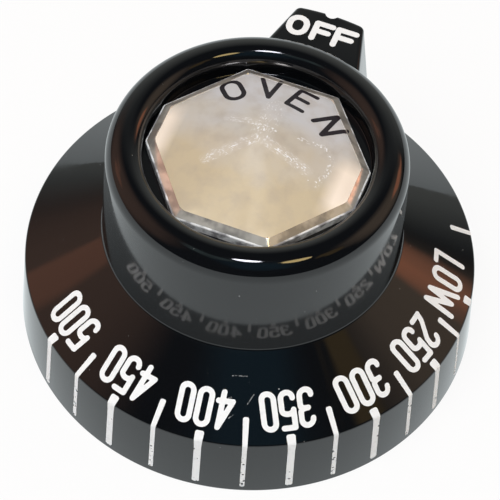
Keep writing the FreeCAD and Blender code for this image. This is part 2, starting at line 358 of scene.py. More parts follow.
class NodeBench:
    """Node tree of a material or of the room, with short calls for the nodes that it uses."""

    def __init__(self, tree: bpy.types.NodeTree, coordinates: str) -> None:
        """Empty the tree and find its coordinates.

        Args:
            tree: Node tree to fill.
            coordinates: Blender's name of the coordinates that patterns follow.
        """
        self.tree = tree
        self.tree.nodes.clear()
        self.place = self.add("ShaderNodeTexCoord").outputs[coordinates]

    def add(self, kind: str, **settings: Any) -> bpy.types.Node:
        """Add a node.

        Args:
            kind: Blender's name for the kind of node.
            **settings: Attributes to set on it.

        Returns:
            The new node.
        """
        node = self.tree.nodes.new(kind)
        for key, setting in settings.items():
            setattr(node, key, setting)
        return node

    def link(self, source: bpy.types.NodeSocket, target: bpy.types.NodeSocket) -> None:
        """Link two sockets."""
        self.tree.links.new(source, target)

    def feed(self, target: bpy.types.NodeSocket, value: Any) -> None:
        """Link a socket to an input, or set the input to a plain value.

        Args:
            target: Input socket.
            value: Output socket or value.
        """
        if isinstance(value, bpy.types.NodeSocket):
            self.link(value, target)
        else:
            target.default_value = value

    def noise(
        self, scale: float, detail: float = 2.0, place: bpy.types.NodeSocket | None = None
    ) -> bpy.types.NodeSocket:
        """Soft noise over the coordinates.

        Args:
            scale: Cells per unit of the coordinates.
            detail: Levels of finer noise.
            place: Coordinates to follow in place of the plain ones.

        Returns:
            Value socket from 0 to 1.
        """
        node = self.add("ShaderNodeTexNoise")
        node.inputs["Scale"].default_value = scale
        node.inputs["Detail"].default_value = detail
        self.link(self.place if place is None else place, node.inputs["Vector"])
        return node.outputs[0]

    def stretched(self, stretch: Triple) -> bpy.types.NodeSocket:
        """Coordinates scaled along each axis.

        Args:
            stretch: Scale of each axis.

        Returns:
            Vector socket.
        """
        mapping = self.add("ShaderNodeMapping")
        mapping.inputs["Scale"].default_value = stretch
        self.link(self.place, mapping.inputs["Vector"])
        return mapping.outputs["Vector"]

    def cells(self, scale: float) -> tuple[bpy.types.NodeSocket, bpy.types.NodeSocket]:
        """Scattered points over the coordinates.

        Args:
            scale: Cells per metre.

        Returns:
            Distance to the nearest point, in cells, and that point's random colour.
        """
        node = self.add("ShaderNodeTexVoronoi")
        node.inputs["Scale"].default_value = scale
        self.link(self.place, node.inputs["Vector"])
        return node.outputs["Distance"], node.outputs["Color"]

    def span(
        self,
        value: bpy.types.NodeSocket,
        source: Pair,
        target: Pair = (0.0, 1.0),
        ramp: Ramp = Ramp.STRAIGHT,
    ) -> bpy.types.NodeSocket:
        """Map one range of values to another, held at its ends.

        Args:
            value: Value socket.
            source: Range that comes in.
            target: Range that goes out.
            ramp: Course between the ends.

        Returns:
            Value socket.
        """
        node = self.add("ShaderNodeMapRange", interpolation_type=ramp.value)
        self.link(value, node.inputs["Value"])
        for name, number in zip(("From Min", "From Max", "To Min", "To Max"), source + target):
            node.inputs[name].default_value = number
        return node.outputs["Result"]

    def calc(self, operation: Op, first: Any, second: Any) -> bpy.types.NodeSocket:
        """Arithmetic on two values.

        Args:
            operation: Sum to do.
            first: Socket or number.
            second: Socket or number.

        Returns:
            Value socket.
        """
        node = self.add("ShaderNodeMath", operation=operation.value)
        self.feed(node.inputs[0], first)
        self.feed(node.inputs[1], second)
        return node.outputs[0]

    def blend(self, factor: bpy.types.NodeSocket, first: Any, second: Any) -> bpy.types.NodeSocket:
        """Mix of two colours.

        Args:
            factor: Share of the second colour.
            first: Colour or socket at 0.
            second: Colour or socket at 1.

        Returns:
            Colour socket.
        """
        node = self.add("ShaderNodeMix", data_type="RGBA")
        self.link(factor, node.inputs[0])
        # The mix node lists its colour sockets after those for numbers and vectors
        self.feed(node.inputs[6], first)
        self.feed(node.inputs[7], second)
        return node.outputs[2]

    def specks(self, scale: float, radius: float, share: float) -> bpy.types.NodeSocket:
        """Mask of small scattered spots.

        Args:
            scale: Cells per metre.
            radius: Spot radius in cells.
            share: Share of the cells that have a spot.

        Returns:
            Value socket, 1 in a spot.
        """
        distance, colour = self.cells(scale)
        channels = self.add("ShaderNodeSeparateColor")
        self.link(colour, channels.inputs[0])
        chosen = self.calc(Op.LESS_THAN, channels.outputs[0], share)
        size = self.span(channels.outputs[1], (0.0, 1.0), (0.3 * radius, radius))
        inside = self.calc(Op.LESS_THAN, distance, size)
        return self.calc(Op.MULTIPLY, chosen, inside)

    def vector(self, operation: Op, first: Any, second: Any) -> bpy.types.Node:
        """Arithmetic on two vectors.

        Args:
            operation: Sum to do.
            first: Socket or vector.
            second: Socket, vector or, to scale by, number.

        Returns:
            The node, with a vector and a value output.
        """
        node = self.add("ShaderNodeVectorMath", operation=operation.value)
        self.feed(node.inputs[0], first)
        self.feed(node.inputs["Scale" if operation is Op.SCALE else 1], second)
        return node

    def along(self, way: Triple | Vector) -> bpy.types.NodeSocket:
        """Place along a direction."""
        return self.vector(Op.DOT_PRODUCT, self.place, way).outputs["Value"]

    def mark(self, start: Pair, end: Pair, width: float) -> bpy.types.NodeSocket:
        """Mask of a straight mark, seen from above.

        Args:
            start: Plan place of one end in millimetres.
            end: Plan place of the other end.
            width: Width of the mark.

        Returns:
            Value socket, 1 along the mark and 0 beyond its sides.
        """
        length = math.dist(start, end) * MM
        way = ((end[0] - start[0]) * MM / length, (end[1] - start[1]) * MM / length, 0.0)
        flat = self.vector(Op.MULTIPLY, self.place, (1.0, 1.0, 0.0)).outputs[0]
        offset = self.vector(Op.SUBTRACT, flat, (start[0] * MM, start[1] * MM, 0.0)).outputs[0]
        along = self.vector(Op.DOT_PRODUCT, offset, way).outputs["Value"]
        held = self.span(along, (0.0, length), (0.0, length))
        foot = self.vector(Op.SCALE, way, held).outputs[0]
        aside = self.vector(Op.DISTANCE, offset, foot).outputs["Value"]
        return self.span(aside, (0.2 * width * MM, 0.5 * width * MM), (1.0, 0.0))

    def strands(self, start: Pair, end: Pair, scale: float) -> bpy.types.NodeSocket:
        """Fine streaks that run along a mark.

        Args:
            start: Plan place of one end in millimetres.
            end: Plan place of the other end.
            scale: Streaks per metre across the mark.

        Returns:
            Value socket from 0 to 1.
        """
        mapping = self.add("ShaderNodeMapping", vector_type="TEXTURE")
        heading = math.atan2(end[1] - start[1], end[0] - start[0])
        mapping.inputs["Rotation"].default_value = (0.0, 0.0, heading)
        mapping.inputs["Scale"].default_value = (4.0, 1.0, 1.0)
        self.link(self.place, mapping.inputs["Vector"])
        return self.noise(scale, place=mapping.outputs["Vector"])


class MaterialBench(NodeBench):
    """Node tree of one material, round a principled shader."""

    def __init__(self, name: str) -> None:
        """Start a material with one principled shader.

        Args:
            name: Name of the material.
        """
        self.material = bpy.data.materials.new(name)
        self.material.use_nodes = True
        super().__init__(self.material.node_tree, "Object")
        self.shader = self.add("ShaderNodeBsdfPrincipled")
        self.output = self.add("ShaderNodeOutputMaterial")
        self.link(self.shader.outputs["BSDF"], self.output.inputs["Surface"])

    def put(self, name: str, value: Any) -> None:
        """Set or link one of the shader's inputs."""
        self.feed(self.shader.inputs[name], value)

    def dent(self, height: bpy.types.NodeSocket, strength: float, depth: float) -> None:
        """Bump the shader's surface.

        Args:
            height: Height socket, from 0 to 1.
            strength: Share of the bump.
            depth: Height of the bump in millimetres.
        """
        node = self.add("ShaderNodeBump")
        node.inputs["Strength"].default_value = strength
        node.inputs["Distance"].default_value = depth * MM
        self.link(height, node.inputs["Height"])
        self.put("Normal", node.outputs["Normal"])


@dataclass(frozen=True)
class BlackMoulding:
    """Polished black moulding with faint smudges, dust and a few fine scratches."""

    base: Colour = (0.0030, 0.0036, 0.0046, 1.0)
    dust: Colour = (0.26, 0.27, 0.27, 1.0)
    index: float = 1.55
    polished: float = 0.03
    smudged: float = 0.10
    grip_dulling: float = 0.05
    grip_reach: float = 20.7
    grip_top: float = 31.0
    grip_fade: Pair = (0.5, 2.0)
    scratch_width: float = 0.16
    scratches: tuple[tuple[Pair, Pair], ...] = (
        ((7.9, -22.0), (5.9, -22.7)),
        ((9.3, -23.6), (8.9, -24.9)),
        ((6.7, -24.9), (6.0, -25.4)),
        ((7.6, -26.6), (7.2, -27.2)),
    )

    def grip_mask(self, bench: NodeBench) -> bpy.types.NodeSocket:
        """Extra roughness of the grip's side, which hands have dulled.

        Args:
            bench: Node tree of the material.

        Returns:
            Value socket, 0 away from the grip.
        """
        flat = bench.vector(Op.MULTIPLY, bench.place, (1.0, 1.0, 0.0)).outputs[0]
        radius = bench.vector(Op.DISTANCE, flat, (0.0, 0.0, 0.0)).outputs["Value"]
        outward, downward = self.grip_fade
        side = metres((self.grip_reach, self.grip_reach + outward))
        inside = bench.span(radius, side, (self.grip_dulling, 0.0))
        top = metres((self.grip_top - downward, self.grip_top))
        below = bench.span(bench.along((0.0, 0.0, 1.0)), top, (1.0, 0.0))
        return bench.calc(Op.MULTIPLY, inside, below)

    def material(self) -> bpy.types.Material:
        """Build the material.

        Returns:
            The finish of the moulding.
        """
        bench = MaterialBench("polished_black_moulding")
        bench.put("IOR", self.index)
        roughness = bench.span(bench.noise(scale=90.0, detail=4.0), (0.45, 0.72), (self.polished, self.smudged))
        roughness = bench.calc(Op.ADD, roughness, self.grip_mask(bench))
        coarse = bench.specks(scale=420.0, radius=0.055, share=0.14)
        spots = bench.calc(Op.MAXIMUM, coarse, bench.specks(scale=1100.0, radius=0.075, share=0.08))
        broken = bench.span(bench.noise(scale=2600.0), (0.42, 0.55))
        for start, end in self.scratches:
            scratch = bench.calc(Op.MULTIPLY, bench.mark(start, end, self.scratch_width), broken)
            spots = bench.calc(Op.MAXIMUM, spots, scratch)
        bench.put("Base Color", bench.blend(spots, self.base, self.dust))
        roughness = bench.calc(Op.ADD, roughness, bench.calc(Op.MULTIPLY, spots, 0.4))
        bench.put("Roughness", roughness)
        peel = bench.calc(Op.ADD, bench.noise(scale=500.0, detail=1.0), bench.calc(Op.MULTIPLY, spots, 0.5))
        bench.dent(peel, strength=0.10, depth=0.02)
        return bench.material


@dataclass(frozen=True)
class BrightInsert:
    """Bright formed metal with a satin grain, a painted reflection from warm on its near half to pale on its
    far half, rub marks with painted glints and painted side highlights.
    """

    warm: Colour = (0.63, 0.54, 0.375, 1.0)
    stained: Colour = (0.46, 0.40, 0.33, 1.0)
    pale: Colour = (0.66, 0.67, 0.69, 1.0)
    rubbed_and_glinting: Colour = (0.97, 0.98, 1.0, 1.0)
    painted_side_highlight: Colour = (1.0, 0.89, 0.76, 1.0)
    painted_reflection_span: Pair = (-5.0, 7.0)
    painted_reflection_waver: Pair = (-3.0, 3.0)
    metallic: float = 0.22
    polished: float = 0.42
    satin: float = 0.60
    side_highlight_reach: Pair = (10.2, 12.2)
    side_highlight_spread: Pair = (2.5, 5.5)
    side_highlight_middle: Pair = (-0.5, -1.5)
    rub_and_glint_veil: float = 0.10
    rub_and_glint_strength: float = 0.95
    rubs_and_glints: tuple[tuple[Pair, Pair, float], ...] = (
        ((-0.7, -0.6), (-5.6, -4.4), 2.0),
        ((1.6, -0.2), (7.2, -1.5), 1.9),
        ((-0.2, 6.8), (0.1, 0.6), 3.4),
        ((-5.2, 2.6), (-0.6, 2.6), 1.7),
    )
    glint_arcs: tuple[tuple[Pair, Pair, float], ...] = (
        ((4.5, 2.75), (8.0, 3.3), 0.9),
        ((8.0, 3.3), (9.5, 1.9), 0.9),
        ((9.5, 1.9), (9.7, -0.2), 0.9),
        ((9.7, -0.2), (8.9, -2.7), 0.9),
        ((-2.2, 2.4), (1.4, 2.2), 0.9),
        ((2.0, -0.35), (6.7, -1.45), 0.6),
    )

    def rub_and_glint_mask(self, bench: NodeBench) -> bpy.types.NodeSocket:
        """Mask of the rub marks and the specks along them, and of arcs of painted glints; the white of the rub
        marks is partly painted glint too.

        Args:
            bench: Node tree of the material.

        Returns:
            Value socket, 1 where the metal is scuffed or carries a painted glint.
        """
        patches = bench.span(bench.noise(scale=1100.0, detail=3.0), (0.42, 0.62), (0.0, self.rub_and_glint_strength))
        grains = bench.span(bench.noise(scale=3200.0), (0.54, 0.64))
        mask = bench.specks(scale=900.0, radius=0.10, share=0.08)
        for start, end, width in self.rubs_and_glints:
            strands = bench.span(bench.strands(start, end, scale=6000.0), (0.52, 0.62))
            rubbed_and_glinting = bench.calc(Op.ADD, bench.calc(Op.MULTIPLY, strands, patches), self.rub_and_glint_veil)
            rubbed_and_glinting = bench.calc(Op.MULTIPLY, bench.mark(start, end, width), rubbed_and_glinting)
            mask = bench.calc(Op.MAXIMUM, mask, rubbed_and_glinting)
        # Painted glints: bright grains along the arcs and along one ridge of the crown.
        for start, end, width in self.glint_arcs:
            glint = bench.calc(Op.MULTIPLY, bench.mark(start, end, width), grains)
            mask = bench.calc(Op.MAXIMUM, mask, glint)
        return mask

    def side_highlight_mask(self, bench: NodeBench, far: bpy.types.NodeSocket) -> bpy.types.NodeSocket:
        """Mask of the painted highlight on the two side facets' outer ends.

        Args:
            bench: Node tree of the material.
            far: Place towards OFF.

        Returns:
            Value socket, 1 where the metal is brightest.
        """
        offsets = []
        for place, middle in zip((bench.along((1.0, 0.0, 0.0)), far), metres(self.side_highlight_middle)):
            offsets.append(bench.calc(Op.ABSOLUTE, bench.calc(Op.SUBTRACT, place, middle), 0.0))
        side = bench.span(offsets[0], metres(self.side_highlight_reach))
        return bench.calc(Op.MULTIPLY, side, bench.span(offsets[1], metres(self.side_highlight_spread), (1.0, 0.0)))

    def material(self) -> bpy.types.Material:
        """Build the material.

        Returns:
            The finish of the insert.
        """
        bench = MaterialBench("bright_formed_metal")
        # Painted reflection: the colour runs from warm on the near half to pale on the far half, for the warm
        # room mirrored in the near facets only.
        waver = bench.span(bench.noise(scale=140.0, detail=3.0), (0.3, 0.7), metres(self.painted_reflection_waver))
        far = bench.along((0.0, 1.0, 0.0))
        tone = bench.span(bench.calc(Op.ADD, far, waver), metres(self.painted_reflection_span))
        metal = bench.blend(tone, self.warm, self.pale)
        stains = bench.span(bench.noise(scale=420.0, detail=5.0), (0.46, 0.72), (0.0, 0.4))
        metal = bench.blend(stains, metal, self.stained)
        # Painted highlight: near-white patches at the outer ends of the two side facets.
        painted_side_highlight = self.side_highlight_mask(bench, far)
        rubs_and_glints = self.rub_and_glint_mask(bench)
        metal = bench.blend(painted_side_highlight, metal, self.painted_side_highlight)
        # Rub marks, specks and glint arcs turn white: partly real scuffing, partly painted glint.
        bench.put("Base Color", bench.blend(rubs_and_glints, metal, self.rubbed_and_glinting))
        rubs_and_glints = bench.calc(Op.MAXIMUM, rubs_and_glints, painted_side_highlight)
        bench.put("Metallic", bench.span(rubs_and_glints, (0.0, 1.0), (self.metallic, 0.1)))
        grain = bench.noise(scale=600.0, detail=5.0, place=bench.stretched((1.0, 0.25, 1.0)))
        bench.put("Roughness", bench.span(grain, (0.35, 0.7), (self.satin, self.polished)))
        waves = bench.calc(Op.MULTIPLY, bench.noise(scale=230.0, detail=1.0), 2.0)
        ripples = bench.calc(Op.ADD, bench.noise(scale=1500.0, detail=3.0), waves)
        bench.dent(ripples, strength=0.3, depth=0.05)
        return bench.material


@dataclass(frozen=True)
class PolishedMetal:
    """Polished metal of the insert's border and edge, bright and dull in patches; on the outer edge the
    near-white patches are painted highlights.
    """

    name: str
    bright: Colour
    dull: Colour
    metallic: float
    patch_scale: float
    gloss: Pair = (0.10, 0.25)

    def material(self) -> bpy.types.Material:
        """Build the material.

        Returns:
            The finish of the border or of its outer edge.
        """
        bench = MaterialBench(self.name)
        bench.put("Metallic", self.metallic)
        patches = bench.span(bench.noise(scale=self.patch_scale, detail=3.0), (0.44, 0.58))
        bench.put("Base Color", bench.blend(patches, self.bright, self.dull))
        bench.put("Roughness", bench.span(bench.noise(scale=700.0, detail=3.0), (0.3, 0.7), self.gloss))
        bench.dent(bench.noise(scale=420.0), strength=0.35, depth=0.06)
        return bench.material


POLISHED_BORDER = PolishedMetal(
    name="polished_border",
    bright=(0.76, 0.72, 0.65, 1.0),
    dull=(0.40, 0.38, 0.35, 1.0),
    metallic=0.62,
    patch_scale=330.0,
)
# Painted highlight: the outer edge's near-white colour, broken into patches, stands in for the bright line
# mirrored along it.
PAINTED_HIGHLIGHT_EDGE = PolishedMetal(
    name="painted_highlight_edge",
    bright=(0.97, 0.99, 1.0, 1.0),
    dull=(0.34, 0.34, 0.35, 1.0),
    metallic=0.15,
    patch_scale=520.0,
)


@dataclass(frozen=True)
class SpringSteel:
    """Bare rolled strip with lengthwise grain and a little oxide."""

    bright: Colour = (0.52, 0.52, 0.53, 1.0)
    oxide: Colour = (0.24, 0.20, 0.17, 1.0)

    def material(self) -> bpy.types.Material:
        """Build the material.

        Returns:
            The finish of the spring.
        """
        bench = MaterialBench("rolled_spring_strip")
        bench.put("Metallic", 1.0)
        stain = bench.span(bench.noise(scale=700.0, detail=4.0), (0.55, 0.75))
        bench.put("Base Color", bench.blend(stain, self.bright, self.oxide))
        grain = bench.noise(scale=900.0, detail=3.0, place=bench.stretched((3.0, 3.0, 0.12)))
        bench.put("Roughness", bench.span(grain, (0.3, 0.7), (0.25, 0.45)))
        bench.dent(grain, strength=0.3, depth=0.01)
        return bench.material


@dataclass(frozen=True)
class PrintedPaint:
    """Printed paint of one colour, a little uneven in tone and gloss."""

    name: str
    full: Colour
    thin: Colour
    gloss: Pair = (0.35, 0.55)

    def material(self) -> bpy.types.Material:
        """Build the material.

        Returns:
            The finish of the print.
        """
        bench = MaterialBench(self.name)
        tone = bench.span(bench.noise(scale=1200.0, detail=3.0), (0.55, 0.8))
        bench.put("Base Color", bench.blend(tone, self.full, self.thin))
        bench.put("Roughness", bench.span(bench.noise(scale=800.0), (0.3, 0.7), self.gloss))
        bench.dent(bench.noise(scale=2500.0), strength=0.25, depth=0.02)
        return bench.material


WHITE_PAINT = PrintedPaint("white_dial_paint", (0.91, 0.94, 0.95, 1.0), (0.79, 0.83, 0.85, 1.0))
DARK_PAINT = PrintedPaint("dark_insert_paint", (0.012, 0.009, 0.014, 1.0), (0.03, 0.02, 0.03, 1.0))


def dress(piece: bpy.types.Object, *finishes: bpy.types.Material) -> None:
    """Give a piece its finishes.

    Args:
        piece: Piece to dress.
        *finishes: Materials in the order of the faces' indices.
    """
    piece.data.materials.clear()
    for finish in finishes:
        piece.data.materials.append(finish)


def seat(piece: bpy.types.Object, slot: Slot, *replaced: str) -> None:
    """Put a piece on the knob's body and log it.

    Args:
        piece: Piece in its place.
        slot: Record slot that its finish comes from.
        *replaced: CAD nodes that it stands for.
    """
    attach(piece, BODY)
    if replaced:
        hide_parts(*replaced)
    LOG.info("%s: %d faces, slot %s", piece.name, len(piece.data.polygons), slot.value)


# Moulding


@dataclass
class KnobForm:
    """Turned form of the moulding, in millimetres and degrees."""

    skirt_radius: float
    knob_height: float
    rim_height: float = 10.6
    rim_draft: float = 3.7
    rim_edge_round: float = 0.4
    rim_wall: float = 3.0
    foot_round: float = 0.2
    cone_wall: float = 3.2
    grip_radius: float = 20.45
    grip_foot: float = 17.4
    grip_foot_round: float = 0.45
    grip_draft: float = 2.0
    grip_wall: float = 3.8
    outer_roll: float = 2.8
    inner_roll: float = 1.9
    recess_radius: float = 15.1
    recess_depth: float = 3.5
    recess_corner_round: float = 0.2
    web: float = 3.0
    core_draft: float = 1.0
    core_round: float = 0.5
    hub_radius: float = 6.5
    hub_setback: float = 2.5

    @classmethod
    def from_frame(cls) -> "KnobForm":
        """Take the overall sizes from the CAD node.

        Returns:
            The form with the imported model's radius and height.
        """
        low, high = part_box("knob_body")
        return cls(skirt_radius=(high[0] - low[0]) / 2 / MM, knob_height=high[2] / MM)

    @property
    def recess_floor(self) -> float:
        """Height of the floor that the insert stands on."""
        return self.knob_height - self.recess_depth

    @property
    def web_underside(self) -> float:
        """Height of the underside of the web between grip and hub."""
        return self.recess_floor - self.web

    @property
    def grip_core(self) -> float:
        """Radius of the hollow in the grip at its foot."""
        return self.grip_radius - self.grip_wall

    @property
    def core_foot(self) -> float:
        """Height at which the hollow of the grip starts."""
        return self.grip_foot - self.cone_wall

    def rim_radius(self, height: float) -> float:
        """Radius of the drafted rim wall at a height."""
        return self.skirt_radius - height * math.tan(math.radians(self.rim_draft))

    def cone_height(self, radius: float) -> float:
        """Height of the sloping dial face at a radius.

        Args:
            radius: Distance from the axis.

        Returns:
            Height of the face there.
        """
        run = self.rim_radius(self.rim_height) - self.grip_radius
        return self.grip_foot - (radius - self.grip_radius) * (self.grip_foot - self.rim_height) / run

    def outer_corners(self) -> list[Corner]:
        """Corners of the outside from the recess floor's middle to the lower rim.

        Returns:
            Corners as radius, height and rounding.
        """
        taper = math.tan(math.radians(self.grip_draft))
        grip_top = self.grip_radius - (self.knob_height - self.grip_foot) * taper
        return [
            Corner(0.0, self.recess_floor),
            Corner(self.recess_radius, self.recess_floor, self.recess_corner_round),
            Corner(self.recess_radius, self.knob_height, self.inner_roll),
            Corner(grip_top, self.knob_height, self.outer_roll),
            Corner(self.grip_radius, self.grip_foot, self.grip_foot_round),
            Corner(self.rim_radius(self.rim_height), self.rim_height, self.rim_edge_round),
            Corner(self.skirt_radius, 0.0, self.foot_round),
        ]

    def hollow_corners(self) -> list[Corner]:
        """Corners of the underside from the lower rim to the end of the hub.

        Returns:
            Corners as radius, height and rounding.
        """
        rise = math.tan(math.radians(self.core_draft))
        core_edge = self.rim_radius(self.rim_height) - self.rim_wall
        core_top = self.grip_core - (self.web_underside - self.core_foot) * rise
        hub_root = self.hub_radius + (self.web_underside - self.hub_setback) * rise
        return [
            Corner(self.skirt_radius - self.rim_wall, 0.0, self.foot_round),
            Corner(core_edge, self.cone_height(core_edge) - self.cone_wall, self.core_round),
            Corner(self.grip_core, self.core_foot, self.core_round),
            Corner(core_top, self.web_underside, self.core_round),
            Corner(hub_root, self.web_underside, self.core_round),
            Corner(self.hub_radius, self.hub_setback, self.foot_round),
            Corner(0.0, self.hub_setback),
        ]

    def profile(self) -> list[Pair]:
        """Whole turned profile, from the axis above the web to the axis at the hub's end."""
        return Outline(tuple(self.outer_corners() + self.hollow_corners()), closed=False).points()

    def dial_path(self) -> list[Pair]:
        """Outside profile from the foot of the grip over the rim edge to the base."""
        foot, edge, base = self.outer_corners()[4:]
        return Outline((foot, edge, base), closed=False).points()


@dataclass
class OffLug:
    """Raised wedge at the OFF position, in millimetres and degrees."""

    form: KnobForm
    height: float = 29.2
    end_width: float = 9.7
    flare: float = 14.0
    draft: float = 7.0
    setback: float = 0.4
    corner_round: float = 0.9
    edge_round: float = 0.5
    root_depth: float = 1.0
    wall: float = 2.8
    core_round: float = 0.4
    notch_foot: float = 2.0
    notch_radius: float = 0.95
    notch_depth: float = 0.85
    end_steps: int = 8
    edge_steps: int = 6
    notch_sides: int = 40

    def end(self, height: float) -> float:
        """Radius of the round outer end at a height."""
        return self.form.rim_radius(height) - self.setback

    def half_width(self, radius: float, height: float) -> float:
        """Half the width of the wedge at a radius and a height.

        Args:
            radius: Distance from the axis.
            height: Height above the base.

        Returns:
            Half the width there.
        """
        taper = (self.end(self.height) - radius) * math.tan(math.radians(self.flare))
        return self.end_width / 2 + taper + (self.height - height) * math.tan(math.radians(self.draft))

    def plan(self, height: float, inset: float = 0.0) -> list[Pair]:
        """Outline of the wedge at a height.

        Args:
            height: Height above the base.
            inset: Distance that the outline is drawn in by.

        Returns:
            Points of the outline.
        """
        inner = self.form.grip_core + self.form.grip_wall / 2
        end = self.end(height) - inset
        half_in = self.half_width(inner, height) - inset
        half_out = self.half_width(self.end(self.height), height) - inset
        swing = math.asin(half_out / end)
        corners = [Corner(-half_in, inner), Corner(half_in, inner)]
        for step in range(self.end_steps + 1):
            angle = swing - 2 * swing * step / self.end_steps
            at_corner = step in (0, self.end_steps)
            rounding = self.corner_round - inset if at_corner else 0.0
            corners.append(Corner(end * math.sin(angle), end * math.cos(angle), rounding))
        return Outline(tuple(corners)).points()

    def solid(self) -> bpy.types.Object:
        """Build the wedge with its rounded top edge and its notch.

        Returns:
            Closed solid.
        """
        foot = self.form.rim_height - self.root_depth
        levels = [(self.plan(foot), foot)]
        for step in range(self.edge_steps + 1):
            angle = math.pi / 2 * step / self.edge_steps
            height = self.height - self.edge_round * (1 - math.sin(angle))
            levels.append((self.plan(height, self.edge_round * (1 - math.cos(angle))), height))
        wedge = stack("off_lug", levels)
        combine(wedge, self.notch(), Join.TAKE)
        return wedge

    def notch(self) -> bpy.types.Object:
        """Round cutter for the pointer notch, leaning with the end wall.

        Returns:
            Closed solid.
        """
        levels = []
        for height in (self.form.rim_height + self.notch_foot, self.height + OVERRUN):
            centre = self.end(height) + self.notch_radius - self.notch_depth
            ring = []
            for side in range(self.notch_sides):
                angle = 2 * math.pi * side / self.notch_sides
                x, y = self.notch_radius * math.cos(angle), self.notch_radius * math.sin(angle)
                ring.append((x, centre + y))
            levels.append((ring, height))
        return stack("notch_cutter", levels)

    def core(self) -> bpy.types.Object:
        """Cutter for the hollow in the wedge.

        Returns:
            Closed solid.
        """
        top = self.height - self.wall
        outer = self.end(self.height) - self.wall
        levels = []
        for height in (-OVERRUN, top):
            spread = (top - height) * math.tan(math.radians(self.form.core_draft))
            half_in = self.half_width(self.form.grip_radius, self.height) - self.wall + spread
            half_out = self.half_width(outer, self.height) - self.wall + spread
            inner = self.form.grip_radius - spread
            end = outer + spread
            plan = ((-half_in, inner), (half_in, inner), (half_out, end), (-half_out, end))
            corners = tuple(Corner(x, y, self.core_round) for x, y in plan)
            levels.append((Outline(corners, arc_step=20.0).points(), height))
        return stack("lug_core_cutter", levels)


@dataclass
class DialBody:
    """The moulding: turned form, lug, ribs and the socket for the flatted shaft."""

    form: KnobForm
    lug: OffLug
    segments: int = 360
    rib_count: int = 4
    rib_thickness: float = 1.8
    rib_setback: float = 0.8
    rib_edge_round: float = 0.3
    bore_radius: float = 3.25
    bore_flat: float = 2.46
    bore_depth: float = 19.0
    slot_half_width: float = 1.9
    slot_back: float = 3.76
    slot_depth: float = 11.1
    bore_steps: int = 48
    weld: float = 0.001
    sharp_angle: float = 24.0

    def turned(self) -> bpy.types.Object:
        """Turn the profile round the axis.

        Returns:
            Closed solid.
        """
        profile = self.form.profile()
        draft = MeshDraft()
        rings = []
        for radius, height in profile[1:-1]:
            angles = (2 * math.pi * step / self.segments for step in range(self.segments))
            rings.append(draft.ring((radius * math.cos(a), radius * math.sin(a), height) for a in angles))
        for inner, outer in zip(rings, rings[1:]):
            draft.bridge(inner, outer)
        draft.fan(rings[0], (0.0, 0.0, profile[0][1]))
        draft.fan(rings[-1], (0.0, 0.0, profile[-1][1]))
        return draft.build("dial_body")

    def rib(self, index: int) -> bpy.types.Object:
        """One radial rib under the web, with a softened lower edge.

        Args:
            index: Which rib, anticlockwise.

        Returns:
            Closed solid.
        """
        angle = math.radians(360.0 * (index + 0.5) / self.rib_count)
        along = Vector((math.cos(angle), math.sin(angle)))
        across = Vector((-along.y, along.x))
        root = self.form.hub_radius - self.rib_thickness / 2
        tip = self.form.grip_core + self.form.grip_wall / 4
        foot = self.form.core_foot + self.rib_setback
        soft = self.rib_edge_round * 0.3
        levels = []
        for inset, height in (
            (self.rib_edge_round, foot),
            (soft, foot + soft),
            (0.0, foot + self.rib_edge_round),
            (0.0, self.form.web_underside + OVERRUN),
        ):
            half = self.rib_thickness / 2 - inset
            plan = []
            for reach, side in ((root, -half), (tip, -half), (tip, half), (root, half)):
                corner = along * reach + across * side
                plan.append((corner.x, corner.y))
            levels.append((plan, height))
        return stack("rib", levels)

    def socket(self) -> bpy.types.Object:
        """Cutter for the D-shaped shaft socket.

        Returns:
            Closed solid.
        """
        open_angle = math.asin(self.bore_flat / self.bore_radius)
        start, sweep = math.pi - open_angle, math.pi + 2 * open_angle
        plan = []
        for step in range(self.bore_steps + 1):
            angle = start + sweep * step / self.bore_steps
            plan.append((self.bore_radius * math.cos(angle), self.bore_radius * math.sin(angle)))
        return stack("socket_cutter", [(plan, -OVERRUN), (plan, self.form.hub_setback + self.bore_depth)])

    def spring_slot(self) -> bpy.types.Object:
        """Cutter for the slot that holds the leaf spring.

        Returns:
            Closed solid.
        """
        half, back = self.slot_half_width, self.slot_back
        plan = [(-half, 0.0), (half, 0.0), (half, back), (-half, back)]
        return stack("slot_cutter", [(plan, -OVERRUN), (plan, self.form.hub_setback + self.slot_depth)])

    def build(self, finish: bpy.types.Material) -> bpy.types.Object:
        """Build the whole moulding in place of its CAD node.

        Args:
            finish: Material of the moulding.

        Returns:
            The finished piece.
        """
        body = self.turned()
        combine(body, self.lug.solid(), Join.ADD)
        for index in range(self.rib_count):
            combine(body, self.rib(index), Join.ADD)
        for cutter in (self.lug.core(), self.socket(), self.spring_slot()):
            combine(body, cutter, Join.TAKE)
        merge_close_points(body.data, self.weld)
        smooth_by_angle(body.data, self.sharp_angle)
        dress(body, finish)
        seat(body, Slot.BLACK_MOULDING, "knob_body")
        return body


# Insert


